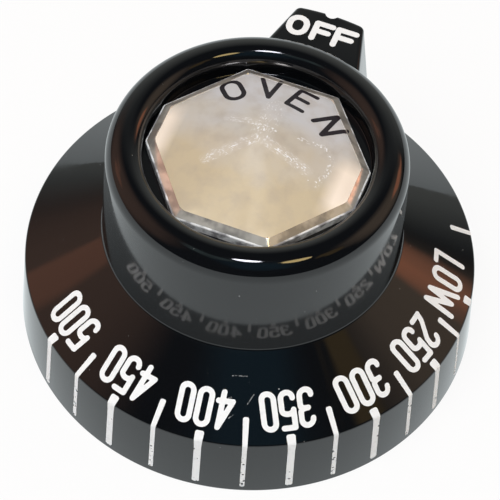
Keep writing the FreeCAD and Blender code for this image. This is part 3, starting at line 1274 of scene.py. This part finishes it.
@dataclass
class FacetedInsert:
    """Eight-sided plaque in the recess, in millimetres and degrees."""

    form: KnobForm
    clearance: float = 0.2
    edge: float = 1.2
    short_side: float = 25.0
    corner_round: float = 0.5
    border_width: float = 1.15
    border_rise: float = 0.7
    border_groove: float = 0.12
    ridge_round: float = 7.5
    ridge_end_round: float = 2.0
    crown_rise: float = 3.5
    crown_softness: float = 0.05
    crown_rings: int = 24
    ring_spacing: float = 1.1
    ridge_end_power: int = 10
    slice_steps: int = 8
    sharp_angle: float = 22.0
    edge_break: tuple[Pair, ...] = ((0.0, -0.12), (0.05, -0.03), (0.22, 0.06))
    border_break: tuple[Triple, ...] = ((0.14, -0.08, 0.5), (0.05, -0.02, 1.0))

    @property
    def reach(self) -> float:
        """Distance from the axis to the corners."""
        return self.form.recess_radius - self.clearance

    @property
    def long_side(self) -> float:
        """Degrees that each of the six long sides spans."""
        return (360.0 - 2 * self.short_side) / 6

    @property
    def border_reach(self) -> float:
        """Distance from the axis to the corners of the border's inner line."""
        return self.reach - self.border_width / math.cos(math.radians(self.long_side / 2))

    @property
    def edge_top(self) -> float:
        """Height of the upright edge's top."""
        return self.form.recess_floor + self.edge

    @property
    def border_top(self) -> float:
        """Height of the border's inner line."""
        return self.edge_top + self.border_rise

    def outline(self, reach: float, rounding: float) -> list[Pair]:
        """Eight-sided outline, with its short sides to the left and right.

        Args:
            reach: Distance from the axis to the sharp corners.
            rounding: Radius that rounds them.

        Returns:
            Points of the outline.
        """
        corners = []
        angle = -self.long_side / 2
        for span in (self.long_side, self.long_side, self.short_side, self.long_side) * 2:
            angle += span
            turn = math.radians(angle)
            corners.append(Corner(-reach * math.sin(turn), reach * math.cos(turn), rounding))
        return Outline(tuple(corners), arc_step=5.0).points()

    def crown_height(self, share: float) -> float:
        """Height of the crown on the way from its tip to its border.

        Args:
            share: 0 at the tip and 1 at the border.

        Returns:
            Height above the base.
        """
        soft = self.crown_softness
        run = (math.hypot(share, soft) - soft) / (math.hypot(1.0, soft) - soft)
        return self.border_top + self.crown_rise * (1 - run)

    def crown_levels(self) -> list[Level]:
        """Rings of the crown from its border to just short of its tip.

        Returns:
            Outline and height of each ring.
        """
        levels = []
        for step in range(self.crown_rings):
            share = (1 - step / self.crown_rings) ** self.ring_spacing
            sharpened = share**self.ridge_end_power
            rounding = self.ridge_round * share * (1 - sharpened) + self.ridge_end_round * sharpened
            levels.append((self.outline(self.border_reach * share, rounding), self.crown_height(share)))
        levels[0] = (levels[0][0], levels[0][1] - self.border_groove)
        return levels

    @cached_property
    def slices(self) -> list[tuple[np.ndarray, np.ndarray, float]]:
        """Rings of the crown from its tip outwards.

        Returns:
            Angles and radii of finely spaced points, and the height, of each ring.
        """
        slices = []
        for plan, height in self.crown_levels()[::-1]:
            corners = np.array(plan + plan[:1])
            along = np.linspace(0, len(plan), self.slice_steps * len(plan), endpoint=False)
            across, outward = (np.interp(along, np.arange(len(corners)), corners[:, axis]) for axis in (0, 1))
            slices.append((np.arctan2(across, outward), np.hypot(across, outward), height))
        return slices

    def surface(self, x: float, y: float) -> float:
        """Height of the crown over a point of the plan.

        Args:
            x: Plan place to the right.
            y: Plan place towards OFF.

        Returns:
            Height above the base.
        """
        angle, reach = math.atan2(x, y), math.hypot(x, y)
        radii, heights = [], []
        for angles, radius, height in self.slices:
            radii.append(float(np.interp(angle, angles, radius, period=2 * math.pi)))
            heights.append(height)
        return float(np.interp(reach, radii, heights))

    def build(self, *finishes: bpy.types.Material) -> bpy.types.Object:
        """Build the plaque in place of its CAD node.

        Args:
            *finishes: Materials of the crown, the border and the outer edge.

        Returns:
            The finished piece.
        """
        draft = MeshDraft()
        foot = self.outline(self.reach, self.corner_round)
        levels: list[Level] = [(foot, self.form.recess_floor)]
        for inset, rise in self.edge_break:
            levels.append((self.outline(self.reach - inset, self.corner_round), self.edge_top + rise))
        edge_faces = len(self.edge_break) * len(foot)
        for outset, rise, rounding in self.border_break:
            levels.append((self.outline(self.border_reach + outset, rounding), self.border_top + rise))
        border_faces = len(levels) * len(foot)
        levels += self.crown_levels()
        rings = draft.walls(levels)
        draft.cap(rings[0])
        draft.fan(rings[-1], (0.0, 0.0, self.crown_height(0.0)))
        plaque = draft.build("insert_plaque", self.sharp_angle)
        dress(plaque, *finishes)
        for face in plaque.data.polygons[:border_faces]:
            face.material_index = 2 if face.index < edge_faces else 1
        seat(plaque, Slot.BRIGHT_INSERT, "faceted_insert")
        return plaque


# Print


@dataclass(frozen=True)
class Stroke:
    """Pen stroke with round ends through points of a glyph, in millimetres."""

    points: tuple[Pair, ...]
    width: float

    def moved(self, x: float, y: float) -> "Stroke":
        """The same stroke somewhere else."""
        return Stroke(tuple((px + x, py + y) for px, py in self.points), self.width)

    def extent(self) -> tuple[Pair, Pair]:
        """Lowest and highest corner of the painted area.

        Returns:
            The two corners.
        """
        half = self.width / 2
        across = [point[0] for point in self.points]
        upward = [point[1] for point in self.points]
        return (min(across) - half, min(upward) - half), (max(across) + half, max(upward) + half)

    def depth(self, x: np.ndarray, y: np.ndarray) -> np.ndarray:
        """How far inside the painted edge each point lies.

        Args:
            x: Places across.
            y: Places upwards.

        Returns:
            Depth in millimetres, negative outside.
        """
        nearest = np.full(x.shape, np.inf)
        for (ax, ay), (bx, by) in zip(self.points, self.points[1:]):
            run = max((bx - ax) ** 2 + (by - ay) ** 2, 1e-9)
            share = np.clip(((x - ax) * (bx - ax) + (y - ay) * (by - ay)) / run, 0.0, 1.0)
            nearest = np.minimum(nearest, np.hypot(x - ax - share * (bx - ax), y - ay - share * (by - ay)))
        return self.width / 2 - nearest


@dataclass(frozen=True)
class Bar:
    """Painted line along the dial's edge, with soft corners and a wider inner end."""

    start: float
    end: float
    inner_width: float
    outer_width: float
    bend: float
    corner: float

    def extent(self) -> tuple[Pair, Pair]:
        """Lowest and highest corner of the painted area."""
        half = max(self.inner_width, self.outer_width) / 2
        return (-half, self.start), (half, self.end)

    def depth(self, x: np.ndarray, y: np.ndarray) -> np.ndarray:
        """How far inside the painted edge each point lies.

        Args:
            x: Places across.
            y: Places along.

        Returns:
            Depth in millimetres, negative outside.
        """
        share = np.clip((y - self.start) / max(self.bend - self.start, 1e-6), 0.0, 1.0)
        half = (self.inner_width + (self.outer_width - self.inner_width) * share) / 2
        middle, reach = (self.start + self.end) / 2, (self.end - self.start) / 2
        over_x = np.abs(x) - (half - self.corner)
        over_y = np.abs(y - middle) - (reach - self.corner)
        outside = np.hypot(np.maximum(over_x, 0.0), np.maximum(over_y, 0.0))
        return self.corner - outside - np.minimum(np.maximum(over_x, over_y), 0.0)


@dataclass(frozen=True)
class Chip:
    """Small spot where the paint is missing."""

    x: float
    y: float
    radius: float

    def depth(self, x: np.ndarray, y: np.ndarray) -> np.ndarray:
        """How far outside the spot each point lies."""
        return np.hypot(x - self.x, y - self.y) - self.radius


@dataclass
class FilmPoints:
    """Upper and lower points of a film, each made once."""

    draft: MeshDraft
    place: Placing
    across: np.ndarray
    upward: np.ndarray
    depth: np.ndarray
    lifts: Pair
    made: dict[tuple[Cell, Cell], Cell] = field(default_factory=dict)

    def at(self, first: Cell, second: Cell) -> Cell:
        """Points at a crossing of the grid, or on the painted edge between two crossings.

        Args:
            first: One crossing.
            second: The same crossing, or its neighbour past the edge.

        Returns:
            Indices of the upper and the lower point.
        """
        first, second = min(first, second), max(first, second)
        if (first, second) not in self.made:
            share = 0.0
            if first != second:
                share = self.depth[first] / (self.depth[first] - self.depth[second])
            x = self.across[first[0]] + (self.across[second[0]] - self.across[first[0]]) * share
            y = self.upward[first[1]] + (self.upward[second[1]] - self.upward[first[1]]) * share
            upper, lower = self.draft.ring(self.place(x, y, lift) for lift in self.lifts)
            self.made[first, second] = (upper, lower)
        return self.made[first, second]


@dataclass
class PaintFilm:
    """Thin layer of paint, cut from a fine grid along the edge of its shapes."""

    shapes: Sequence[Stroke | Bar]
    pitch: Pair = (0.09, 0.09)
    chips: Sequence[Chip] = ()
    top: float = 0.03
    sunk: float = 0.03
    edge_margin: float = 0.004

    def grid(self) -> tuple[np.ndarray, np.ndarray, np.ndarray]:
        """Sample the depth inside the paint.

        Returns:
            Places across, places upwards and the depth at each crossing.
        """
        corners = [shape.extent() for shape in self.shapes]
        low = [min(corner[0][axis] for corner in corners) - 2 * self.pitch[axis] for axis in (0, 1)]
        high = [max(corner[1][axis] for corner in corners) + 2 * self.pitch[axis] for axis in (0, 1)]
        across = np.arange(low[0], high[0] + self.pitch[0], self.pitch[0])
        upward = np.arange(low[1], high[1] + self.pitch[1], self.pitch[1])
        x, y = np.meshgrid(across, upward, indexing="ij")
        depth = np.max([shape.depth(x, y) for shape in self.shapes], axis=0)
        for chip in self.chips:
            depth = np.minimum(depth, chip.depth(x, y))
        return across, upward, np.copysign(np.maximum(np.abs(depth), self.edge_margin), depth)

    def add_to(self, draft: MeshDraft, place: Placing) -> None:
        """Add the film to a draft as a closed layer.

        Args:
            draft: Draft that takes the film.
            place: Gives the point over a film place at a lift above the surface.
        """
        across, upward, depth = self.grid()
        points = FilmPoints(draft, place, across, upward, depth, (self.top, -self.sunk))
        inside = depth > 0
        filled = inside[:-1, :-1] | inside[1:, :-1] | inside[1:, 1:] | inside[:-1, 1:]
        for i, j in zip(*np.nonzero(filled)):
            loop = ((i, j), (i + 1, j), (i + 1, j + 1), (i, j + 1))
            face: list[tuple[Cell, bool]] = []
            for here, after in zip(loop, loop[1:] + loop[:1]):
                if inside[here]:
                    face.append((points.at(here, here), False))
                if inside[here] != inside[after]:
                    face.append((points.at(here, after), True))
            draft.faces.append(tuple(vertex[0] for vertex, _ in face))
            draft.faces.append(tuple(vertex[1] for vertex, _ in reversed(face)))
            for (start, start_cut), (end, end_cut) in zip(face, face[1:] + face[:1]):
                if start_cut and end_cut:
                    draft.faces.append((end[0], start[0], start[1], end[1]))


def finish_print(draft: MeshDraft, name: str, finish: bpy.types.Material, slot: Slot) -> bpy.types.Object:
    """Make a printed piece, dress it and seat it.

    Args:
        draft: The films of the piece.
        name: Its name.
        finish: Material of the paint.
        slot: Record slot that the paint comes from.

    Returns:
        The finished piece.
    """
    piece = draft.build(name, sharp_angle=40.0)
    dress(piece, finish)
    seat(piece, slot)
    return piece


def curve(centre: Pair, radius: Pair, start: float, end: float, steps: int = 10) -> list[Pair]:
    """Points along part of an upright ellipse.

    Args:
        centre: Its middle.
        radius: Its half width and half height.
        start: First angle in degrees, anticlockwise from the right.
        end: Last angle in degrees.
        steps: Number of chords.

    Returns:
        The points in order.
    """
    path = []
    for step in range(steps + 1):
        angle = math.radians(start + (end - start) * step / steps)
        path.append((centre[0] + radius[0] * math.cos(angle), centre[1] + radius[1] * math.sin(angle)))
    return path


@dataclass(frozen=True)
class PenAlphabet:
    """Narrow rounded figures and letters, drawn as pen strokes inside a box."""

    height: float
    width: float
    pen: float
    gap: float

    def glyph(self, sign: str) -> tuple[list[list[Pair]], float]:
        """Centre lines of one sign.

        Args:
            sign: Figure or capital letter.

        Returns:
            Its centre lines from the box's lower left corner, and its width between them.
        """
        high = self.height - self.pen
        wide = self.width - self.pen
        half = wide / 2
        mid = high * 0.52
        bowl = min(half, high / 2)
        upper = curve((half, high - bowl), (half, bowl), 180, 0)
        lower = curve((half, bowl), (half, bowl), 0, -180)
        if sign in "0O":
            return [upper + lower + upper[:1]], wide
        if sign == "2":
            slope = [(wide, high - bowl), (wide * 0.94, high * 0.66), (wide * 0.12, high * 0.2), (0.0, 0.0)]
            return [upper[:-1] + slope + [(wide, 0.0)]], wide
        if sign == "3":
            notch = 0.36 * high / 4
            waist = [(half * 0.7, mid)]
            top = curve((half, mid + notch), (half, notch), 0, -90, 5) + waist
            bottom = waist + curve((half, mid - notch), (half, notch), 90, 0, 5)
            return [upper + [(wide, mid + notch)] + top, bottom + lower], wide
        if sign == "5":
            neck = (0.0, high * 0.5)
            swell = curve((half, high * 0.5), (half, high * 0.11), 180, 0)
            return [[(wide * 0.96, high), (0.0, high), neck] + swell + [(wide, bowl)] + lower], wide
        if sign == "4":
            stem, bar = wide * 0.86, high * 0.25
            return [[(stem, 0.0), (stem, high), (0.0, bar), (wide * 1.2, bar)]], wide * 1.2
        if sign == "L":
            return [[(0.0, high), (0.0, 0.0), (wide * 0.9, 0.0)]], wide * 0.9
        if sign == "F":
            return [[(0.0, 0.0), (0.0, high), (wide, high)], [(0.0, mid), (wide * 0.85, mid)]], wide
        if sign == "E":
            outline = [(wide, high), (0.0, high), (0.0, 0.0), (wide, 0.0)]
            return [outline, [(0.0, mid), (wide * 0.85, mid)]], wide
        if sign == "V":
            return [[(0.0, high), (half, 0.0), (wide, high)]], wide
        if sign == "N":
            return [[(0.0, 0.0), (0.0, high), (wide, 0.0), (wide, high)]], wide
        if sign == "W":
            spread = wide * 1.95
            valleys = [(spread * 0.32, 0.0), (spread * 0.47, high * 0.86), (spread * 0.86, 0.0)]
            return [[(0.0, high), *valleys, (spread, high)]], spread
        raise ValueError(f"no sign for {sign}")

    def word(self, text: str) -> list[Stroke]:
        """Strokes of a word, centred on its middle.

        Args:
            text: Figures or capital letters.

        Returns:
            The strokes.
        """
        signs = [self.glyph(sign) for sign in text]
        total = sum(width + self.pen for _, width in signs) + self.gap * (len(signs) - 1)
        left = -total / 2 + self.pen / 2
        strokes = []
        for lines, width in signs:
            for line in lines:
                strokes.append(Stroke(tuple(line), self.pen).moved(left, -(self.height - self.pen) / 2))
            left += width + self.pen + self.gap
        return strokes


@dataclass
class DialSurface:
    """The printed outside of the dial: sloping face, rim edge and rim wall."""

    form: KnobForm
    path: list[Pair] = field(init=False)
    lengths: np.ndarray = field(init=False)

    def __post_init__(self) -> None:
        """Measure the profile from the foot of the grip to the base."""
        self.path = self.form.dial_path()
        steps = [math.dist(start, end) for start, end in zip(self.path, self.path[1:])]
        self.lengths = np.concatenate([[0.0], np.cumsum(steps)])

    def length_at_radius(self, radius: float) -> float:
        """Distance along the sloping face to a radius."""
        slope = math.hypot(1.0, self.form.cone_height(0.0) - self.form.cone_height(1.0))
        return (radius - self.form.grip_radius) * slope

    def length_at_height(self, height: float) -> float:
        """Distance over the rim edge and down the wall to a height."""
        return float(self.lengths[-1]) - height / math.cos(math.radians(self.form.rim_draft))

    def at(self, length: float) -> tuple[float, float, float, float]:
        """Point and outward direction of the profile.

        Args:
            length: Distance along the profile.

        Returns:
            Radius, height, and the outward direction's two parts.
        """
        index = int(np.clip(np.searchsorted(self.lengths, length, side="right") - 1, 0, len(self.path) - 2))
        (r0, z0), (r1, z1) = self.path[index], self.path[index + 1]
        span = self.lengths[index + 1] - self.lengths[index]
        share = (length - self.lengths[index]) / span
        return r0 + (r1 - r0) * share, z0 + (z1 - z0) * share, -(z1 - z0) / span, (r1 - r0) / span

    def point(self, azimuth: float, offset: float, x: float, y: float, lift: float) -> Triple:
        """Point over the dial.

        Args:
            azimuth: Degrees clockwise from OFF to the print's own zero.
            offset: Distance along the profile to that zero.
            x: Place across.
            y: Place outwards.
            lift: Height above the surface.

        Returns:
            The point in millimetres.
        """
        radius, height, out, up = self.at(offset + y)
        angle = math.radians(azimuth) + x / radius
        reach = radius + out * lift
        return reach * math.sin(angle), reach * math.cos(angle), height + up * lift


@dataclass
class DialPrint:
    """White figures and lines of the temperature scale, placed in degrees clockwise from OFF."""

    surface: DialSurface
    labels: tuple[tuple[str, float], ...] = (
        ("250", 105.2),
        ("300", 126.7),
        ("350", 149.1),
        ("400", 171.9),
        ("450", 195.4),
        ("500", 219.1),
    )
    half_lines: tuple[float, ...] = (94.1, 115.9, 137.9, 160.5, 183.4, 207.1)
    low_word: tuple[str, float] = ("LOW", 82.4)
    low_line: float = 83.4
    thin_line: float = 61.7
    label_radius: float = 27.3
    figures: PenAlphabet = PenAlphabet(height=5.4, width=2.3, pen=0.74, gap=0.2)
    capitals: PenAlphabet = PenAlphabet(height=5.35, width=2.45, pen=0.76, gap=0.22)
    full_chips: int = 4
    half_chips: int = 14
    chip_radius: Pair = (0.05, 0.19)
    chip_free: float = 2.0
    line_pitch: Pair = (0.1, 0.12)
    seed: int = 11

    def build_figures(self, finish: bpy.types.Material) -> bpy.types.Object:
        """Build the temperature figures and the word for the lowest setting.

        Args:
            finish: Material of the paint.

        Returns:
            The finished piece.
        """
        draft = MeshDraft()
        middle = self.surface.length_at_radius(self.label_radius)
        for label, azimuth in self.labels:
            PaintFilm(self.figures.word(label)).add_to(draft, partial(self.surface.point, azimuth, middle))
        word, azimuth = self.low_word
        PaintFilm(self.capitals.word(word)).add_to(draft, partial(self.surface.point, azimuth, middle))
        return finish_print(draft, "dial_figures", finish, Slot.WHITE_PRINT)

    def build_lines(self, finish: bpy.types.Material) -> bpy.types.Object:
        """Build the lines of the scale, from the sloping face down the rim wall.

        Args:
            finish: Material of the paint.

        Returns:
            The finished piece.
        """
        draft = MeshDraft()
        chance = random.Random(self.seed)
        dial = self.surface
        edge = dial.length_at_radius(dial.form.rim_radius(dial.form.rim_height))
        full = Bar(
            start=dial.length_at_radius(29.95),
            end=dial.length_at_height(0.95),
            inner_width=1.25,
            outer_width=0.98,
            bend=edge + 1.5,
            corner=0.34,
        )
        half = Bar(
            start=dial.length_at_radius(27.85),
            end=dial.length_at_height(1.05),
            inner_width=0.82,
            outer_width=0.64,
            bend=edge + 1.0,
            corner=0.3,
        )
        short = Bar(
            start=dial.length_at_radius(30.05),
            end=edge + 0.6,
            inner_width=1.3,
            outer_width=1.15,
            bend=edge,
            corner=0.3,
        )
        thin = Bar(
            start=dial.length_at_radius(27.9),
            end=edge + 0.3,
            inner_width=0.85,
            outer_width=0.7,
            bend=edge,
            corner=0.3,
        )
        for _, azimuth in self.labels:
            self.add_line(draft, full, azimuth, self.chips(full, edge, self.full_chips, chance))
        for azimuth in self.half_lines:
            self.add_line(draft, half, azimuth, self.chips(half, edge, self.half_chips, chance))
        self.add_line(draft, short, self.low_line)
        self.add_line(draft, thin, self.thin_line)
        return finish_print(draft, "dial_lines", finish, Slot.WHITE_PRINT)

    def chips(self, bar: Bar, edge: float, count: int, chance: random.Random) -> list[Chip]:
        """Scatter chips over a line, most of them near its lower end.

        Args:
            bar: Shape of the line.
            edge: Distance along the profile to the rim edge.
            count: Number of chips.
            chance: Source of their places.

        Returns:
            The chips.
        """
        spots = []
        for _ in range(count):
            x = chance.uniform(-0.5, 0.5) * bar.outer_width
            upwards = (bar.end - edge - self.chip_free) * chance.uniform(0.0, 1.0) ** 2
            spots.append(Chip(x, bar.end - upwards, chance.uniform(*self.chip_radius)))
        return spots

    def add_line(self, draft: MeshDraft, bar: Bar, azimuth: float, chips: Sequence[Chip] = ()) -> None:
        """Add one line at a place of the scale."""
        PaintFilm([bar], self.line_pitch, chips).add_to(draft, partial(self.surface.point, azimuth, 0.0))


@dataclass
class LugPrint:
    """White word on top of the lug, each letter with its place and width across."""

    lug: OffLug
    line: float = 25.72
    letters: tuple[tuple[str, float, float], ...] = (
        ("O", -3.66, 3.18),
        ("F", -0.10, 3.07),
        ("F", 3.17, 3.35),
    )
    height: float = 3.7
    pen: float = 0.86

    def point(self, across: float, x: float, y: float, lift: float) -> Triple:
        """Point over the lug's top."""
        return across + x, self.line + y, self.lug.height + lift

    def build(self, finish: bpy.types.Material) -> bpy.types.Object:
        """Build the word.

        Args:
            finish: Material of the paint.

        Returns:
            The finished piece.
        """
        draft = MeshDraft()
        for letter, across, width in self.letters:
            alphabet = PenAlphabet(self.height, width, self.pen, gap=0.0)
            PaintFilm(alphabet.word(letter)).add_to(draft, partial(self.point, across))
        return finish_print(draft, "lug_word", finish, Slot.WHITE_PRINT)


@dataclass
class InsertPrint:
    """Dark letters set round the far half of the insert."""

    insert: FacetedInsert
    places: tuple[tuple[str, float, float], ...] = (
        ("O", -39.5, 10.45),
        ("V", -12.1, 10.45),
        ("E", 13.7, 10.2),
        ("N", 44.2, 10.4),
    )
    letters: PenAlphabet = PenAlphabet(height=4.45, width=3.1, pen=0.65, gap=0.0)

    def point(self, azimuth: float, radius: float, x: float, y: float, lift: float) -> Triple:
        """Point over the crown.

        Args:
            azimuth: Degrees clockwise from OFF to the letter's middle.
            radius: Distance of that middle from the axis.
            x: Place across.
            y: Place outwards.
            lift: Height above the surface.

        Returns:
            The point in millimetres.
        """
        turn = math.radians(azimuth)
        plan_x = (radius + y) * math.sin(turn) + x * math.cos(turn)
        plan_y = (radius + y) * math.cos(turn) - x * math.sin(turn)
        return plan_x, plan_y, self.insert.surface(plan_x, plan_y) + lift

    def build(self, finish: bpy.types.Material) -> bpy.types.Object:
        """Build the letters.

        Args:
            finish: Material of the paint.

        Returns:
            The finished piece.
        """
        draft = MeshDraft()
        for letter, azimuth, radius in self.places:
            film = PaintFilm(self.letters.word(letter), pitch=(0.08, 0.08), top=0.02)
            film.add_to(draft, partial(self.point, azimuth, radius))
        return finish_print(draft, "insert_word", finish, Slot.DARK_PRINT)


@dataclass
class ShaftSpring:
    """Leaf spring in the hub, which keeps its CAD shape."""

    node: bpy.types.Object

    def build(self, finish: bpy.types.Material) -> None:
        """Dress the strip and log it."""
        dress(self.node, finish)
        LOG.info("%s: CAD shape, slot %s", self.node.name, Slot.SPRING_STEEL.value)


# Studio


def direction(azimuth: float, elevation: float) -> Vector:
    """Direction from the knob.

    Args:
        azimuth: Degrees clockwise from OFF.
        elevation: Degrees above the floor.

    Returns:
        Vector of length 1.
    """
    turn, rise = math.radians(azimuth), math.radians(elevation)
    return Vector((math.sin(turn) * math.cos(rise), math.cos(turn) * math.cos(rise), math.sin(rise)))


@dataclass(frozen=True)
class Lamp:
    """Round soft lamp, placed by direction from the knob."""

    name: str
    azimuth: float
    elevation: float
    distance: float
    size: float
    power: float
    colour: Triple = (1.0, 1.0, 1.0)
    mirrored: bool = True

    def build(self, aim: Vector) -> None:
        """Hang the lamp and turn it to the knob.

        Args:
            aim: Point that it lights.
        """
        light = bpy.data.lights.new(self.name, "AREA")
        light.shape = "DISK"
        light.size = self.size
        light.energy = self.power
        light.color = self.colour
        lamp = bpy.data.objects.new(self.name, light)
        way = direction(self.azimuth, self.elevation)
        lamp.location = aim + way * self.distance
        lamp.rotation_euler = way.to_track_quat("Z", "Y").to_euler()
        lamp.visible_glossy = self.mirrored
        bpy.context.scene.collection.objects.link(lamp)


@dataclass(frozen=True)
class Glow:
    """Soft patch of the room, placed by direction from the knob."""

    azimuth: float
    elevation: float
    core: float
    fade: float
    colour: Colour

    def limits(self, lift: float) -> Pair:
        """Cosines at the patch's outer and inner edge, raised by a little."""
        return math.cos(math.radians(self.fade)) + lift, math.cos(math.radians(self.core)) + lift


@dataclass
class Studio:
    """Pale floor, dim warm room, soft lamps and the camera, in metres and degrees."""

    floor_size: float = 6.0
    floor_colour: Colour = (0.92, 0.92, 0.92, 1.0)
    floor_white: float = 0.88
    floor_mirrored: Colour = (0.90, 0.98, 1.0, 1.0)
    room: Colour = (0.030, 0.032, 0.036, 1.0)
    glows: tuple[Glow, ...] = (
        Glow(azimuth=345.0, elevation=6.0, core=15.0, fade=55.0, colour=(0.50, 0.52, 0.49, 1.0)),
        Glow(azimuth=60.0, elevation=32.0, core=6.0, fade=34.0, colour=(0.70, 0.52, 0.38, 1.0)),
        Glow(azimuth=264.0, elevation=29.0, core=4.0, fade=46.0, colour=(0.56, 0.34, 0.25, 1.0)),
        Glow(azimuth=101.0, elevation=48.0, core=1.0, fade=9.0, colour=(0.45, 0.30, 0.12, 1.0)),
        Glow(azimuth=39.0, elevation=26.0, core=4.0, fade=14.0, colour=(2.6, 1.0, 0.55, 1.0)),
        Glow(azimuth=276.0, elevation=30.0, core=3.0, fade=10.0, colour=(1.1, 0.52, 0.34, 1.0)),
        Glow(azimuth=157.0, elevation=57.0, core=4.0, fade=26.0, colour=(0.05, 0.13, 0.19, 1.0)),
        Glow(azimuth=203.0, elevation=67.0, core=2.0, fade=13.0, colour=(0.34, 0.46, 0.46, 1.0)),
    )
    room_breakup: float = 0.10
    room_cells: float = 3.0
    camera_place: Triple = (0.053296, -0.171113, 0.265104)
    camera_aim: Triple = (0.0011806, -0.0041032, 0.017)
    camera_roll: float = 4.3358
    lens: float = 162.1
    lamp_aim: Triple = (0.0, 0.0, 0.03)
    lamps: tuple[Lamp, ...] = (
        Lamp(
            name="cool_lamp",
            azimuth=168.0,
            elevation=80.0,
            distance=0.6,
            size=0.10,
            power=0.8,
            colour=(0.90, 0.90, 1.0),
        ),
        Lamp(
            name="yellow_lamp",
            azimuth=116.0,
            elevation=65.0,
            distance=0.6,
            size=0.13,
            power=0.34,
            colour=(1.0, 0.74, 0.32),
        ),
        Lamp(
            name="fill_lamp",
            azimuth=190.0,
            elevation=63.0,
            distance=1.2,
            size=1.2,
            power=11.2,
            colour=(0.97, 0.99, 1.0),
            mirrored=False,
        ),
    )

    def build_floor(self) -> bpy.types.Object:
        """Lay the pale floor, which looks white to the camera and in the gloss.

        Returns:
            The floor.
        """
        half = self.floor_size / 2 / MM
        draft = MeshDraft()
        corners = ((-half, -half), (half, -half), (half, half), (-half, half))
        draft.cap(draft.ring((x, y, 0.0) for x, y in corners))
        floor = draft.build("studio_floor")
        bench = MaterialBench("pale_floor")
        bench.put("Base Color", self.floor_colour)
        bench.put("Roughness", 0.9)
        bench.put("Specular IOR Level", 0.0)
        rays = bench.add("ShaderNodeLightPath")
        seen = bench.calc(Op.MAXIMUM, rays.outputs["Is Camera Ray"], rays.outputs["Is Glossy Ray"])
        white = bench.add("ShaderNodeEmission")
        white.inputs["Strength"].default_value = 1.0
        mirrored = bench.blend(rays.outputs["Is Glossy Ray"], (1.0, 1.0, 1.0, 1.0), self.floor_mirrored)
        bench.link(mirrored, white.inputs["Color"])
        surface = bench.add("ShaderNodeMixShader")
        bench.link(bench.calc(Op.MULTIPLY, seen, self.floor_white), surface.inputs[0])
        bench.link(bench.shader.outputs["BSDF"], surface.inputs[1])
        bench.link(white.outputs[0], surface.inputs[2])
        bench.link(surface.outputs[0], bench.output.inputs["Surface"])
        dress(floor, bench.material)
        LOG.info("%s laid", floor.name)
        return floor

    def build_room(self) -> None:
        """Set the dim room with its soft patches round the knob."""
        world = bpy.data.worlds.new("warm_room")
        world.use_nodes = True
        bench = NodeBench(world.node_tree, "Generated")
        uneven = bench.calc(Op.MULTIPLY, bench.noise(self.room_cells), self.room_breakup)
        colour: Any = self.room
        for glow in self.glows:
            near = bench.calc(Op.ADD, uneven, bench.along(direction(glow.azimuth, glow.elevation)))
            share = bench.span(near, glow.limits(self.room_breakup / 2), ramp=Ramp.SOFT)
            colour = bench.blend(share, colour, glow.colour)
        background = bench.add("ShaderNodeBackground")
        bench.link(colour, background.inputs["Color"])
        bench.link(background.outputs[0], bench.add("ShaderNodeOutputWorld").inputs["Surface"])
        bpy.context.scene.world = world

    def build_lamps(self) -> None:
        """Hang the lamps round the knob."""
        for lamp in self.lamps:
            lamp.build(Vector(self.lamp_aim))
            LOG.info("%s hung", lamp.name)

    def build_camera(self) -> None:
        """Stand the camera at the photograph's angle."""
        view = bpy.data.cameras.new("camera")
        view.lens = self.lens
        view.sensor_width = 36.0
        view.sensor_fit = "HORIZONTAL"
        view.clip_start = 0.01
        camera = bpy.data.objects.new("camera", view)
        place, aim = Vector(self.camera_place), Vector(self.camera_aim)
        level = (aim - place).to_track_quat("-Z", "Y").to_matrix().to_4x4()
        roll = Matrix.Rotation(math.radians(self.camera_roll), 4, "Z")
        camera.matrix_world = Matrix.Translation(place) @ level @ roll
        bpy.context.scene.collection.objects.link(camera)
        bpy.context.scene.camera = camera

    def build(self) -> None:
        """Build the whole studio."""
        self.build_floor()
        self.build_room()
        self.build_lamps()
        self.build_camera()
        bpy.context.scene.view_settings.view_transform = "Standard"


def main() -> None:
    """Build the knob, its print and the studio."""
    logging.basicConfig(level=logging.INFO, format="%(name)s %(message)s")
    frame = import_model()

    form = KnobForm.from_frame()
    lug = OffLug(form)
    insert = FacetedInsert(form)
    moulding = BlackMoulding().material()
    white = WHITE_PAINT.material()
    DialBody(form, lug).build(moulding)
    insert.build(BrightInsert().material(), POLISHED_BORDER.material(), PAINTED_HIGHLIGHT_EDGE.material())
    ShaftSpring(frame["nodes"]["shaft_spring"]).build(SpringSteel().material())
    scale = DialPrint(DialSurface(form))
    scale.build_figures(white)
    scale.build_lines(white)
    LugPrint(lug).build(white)
    InsertPrint(insert).build(DARK_PAINT.material())
    Studio().build()


if __name__ == "__main__":
    main()
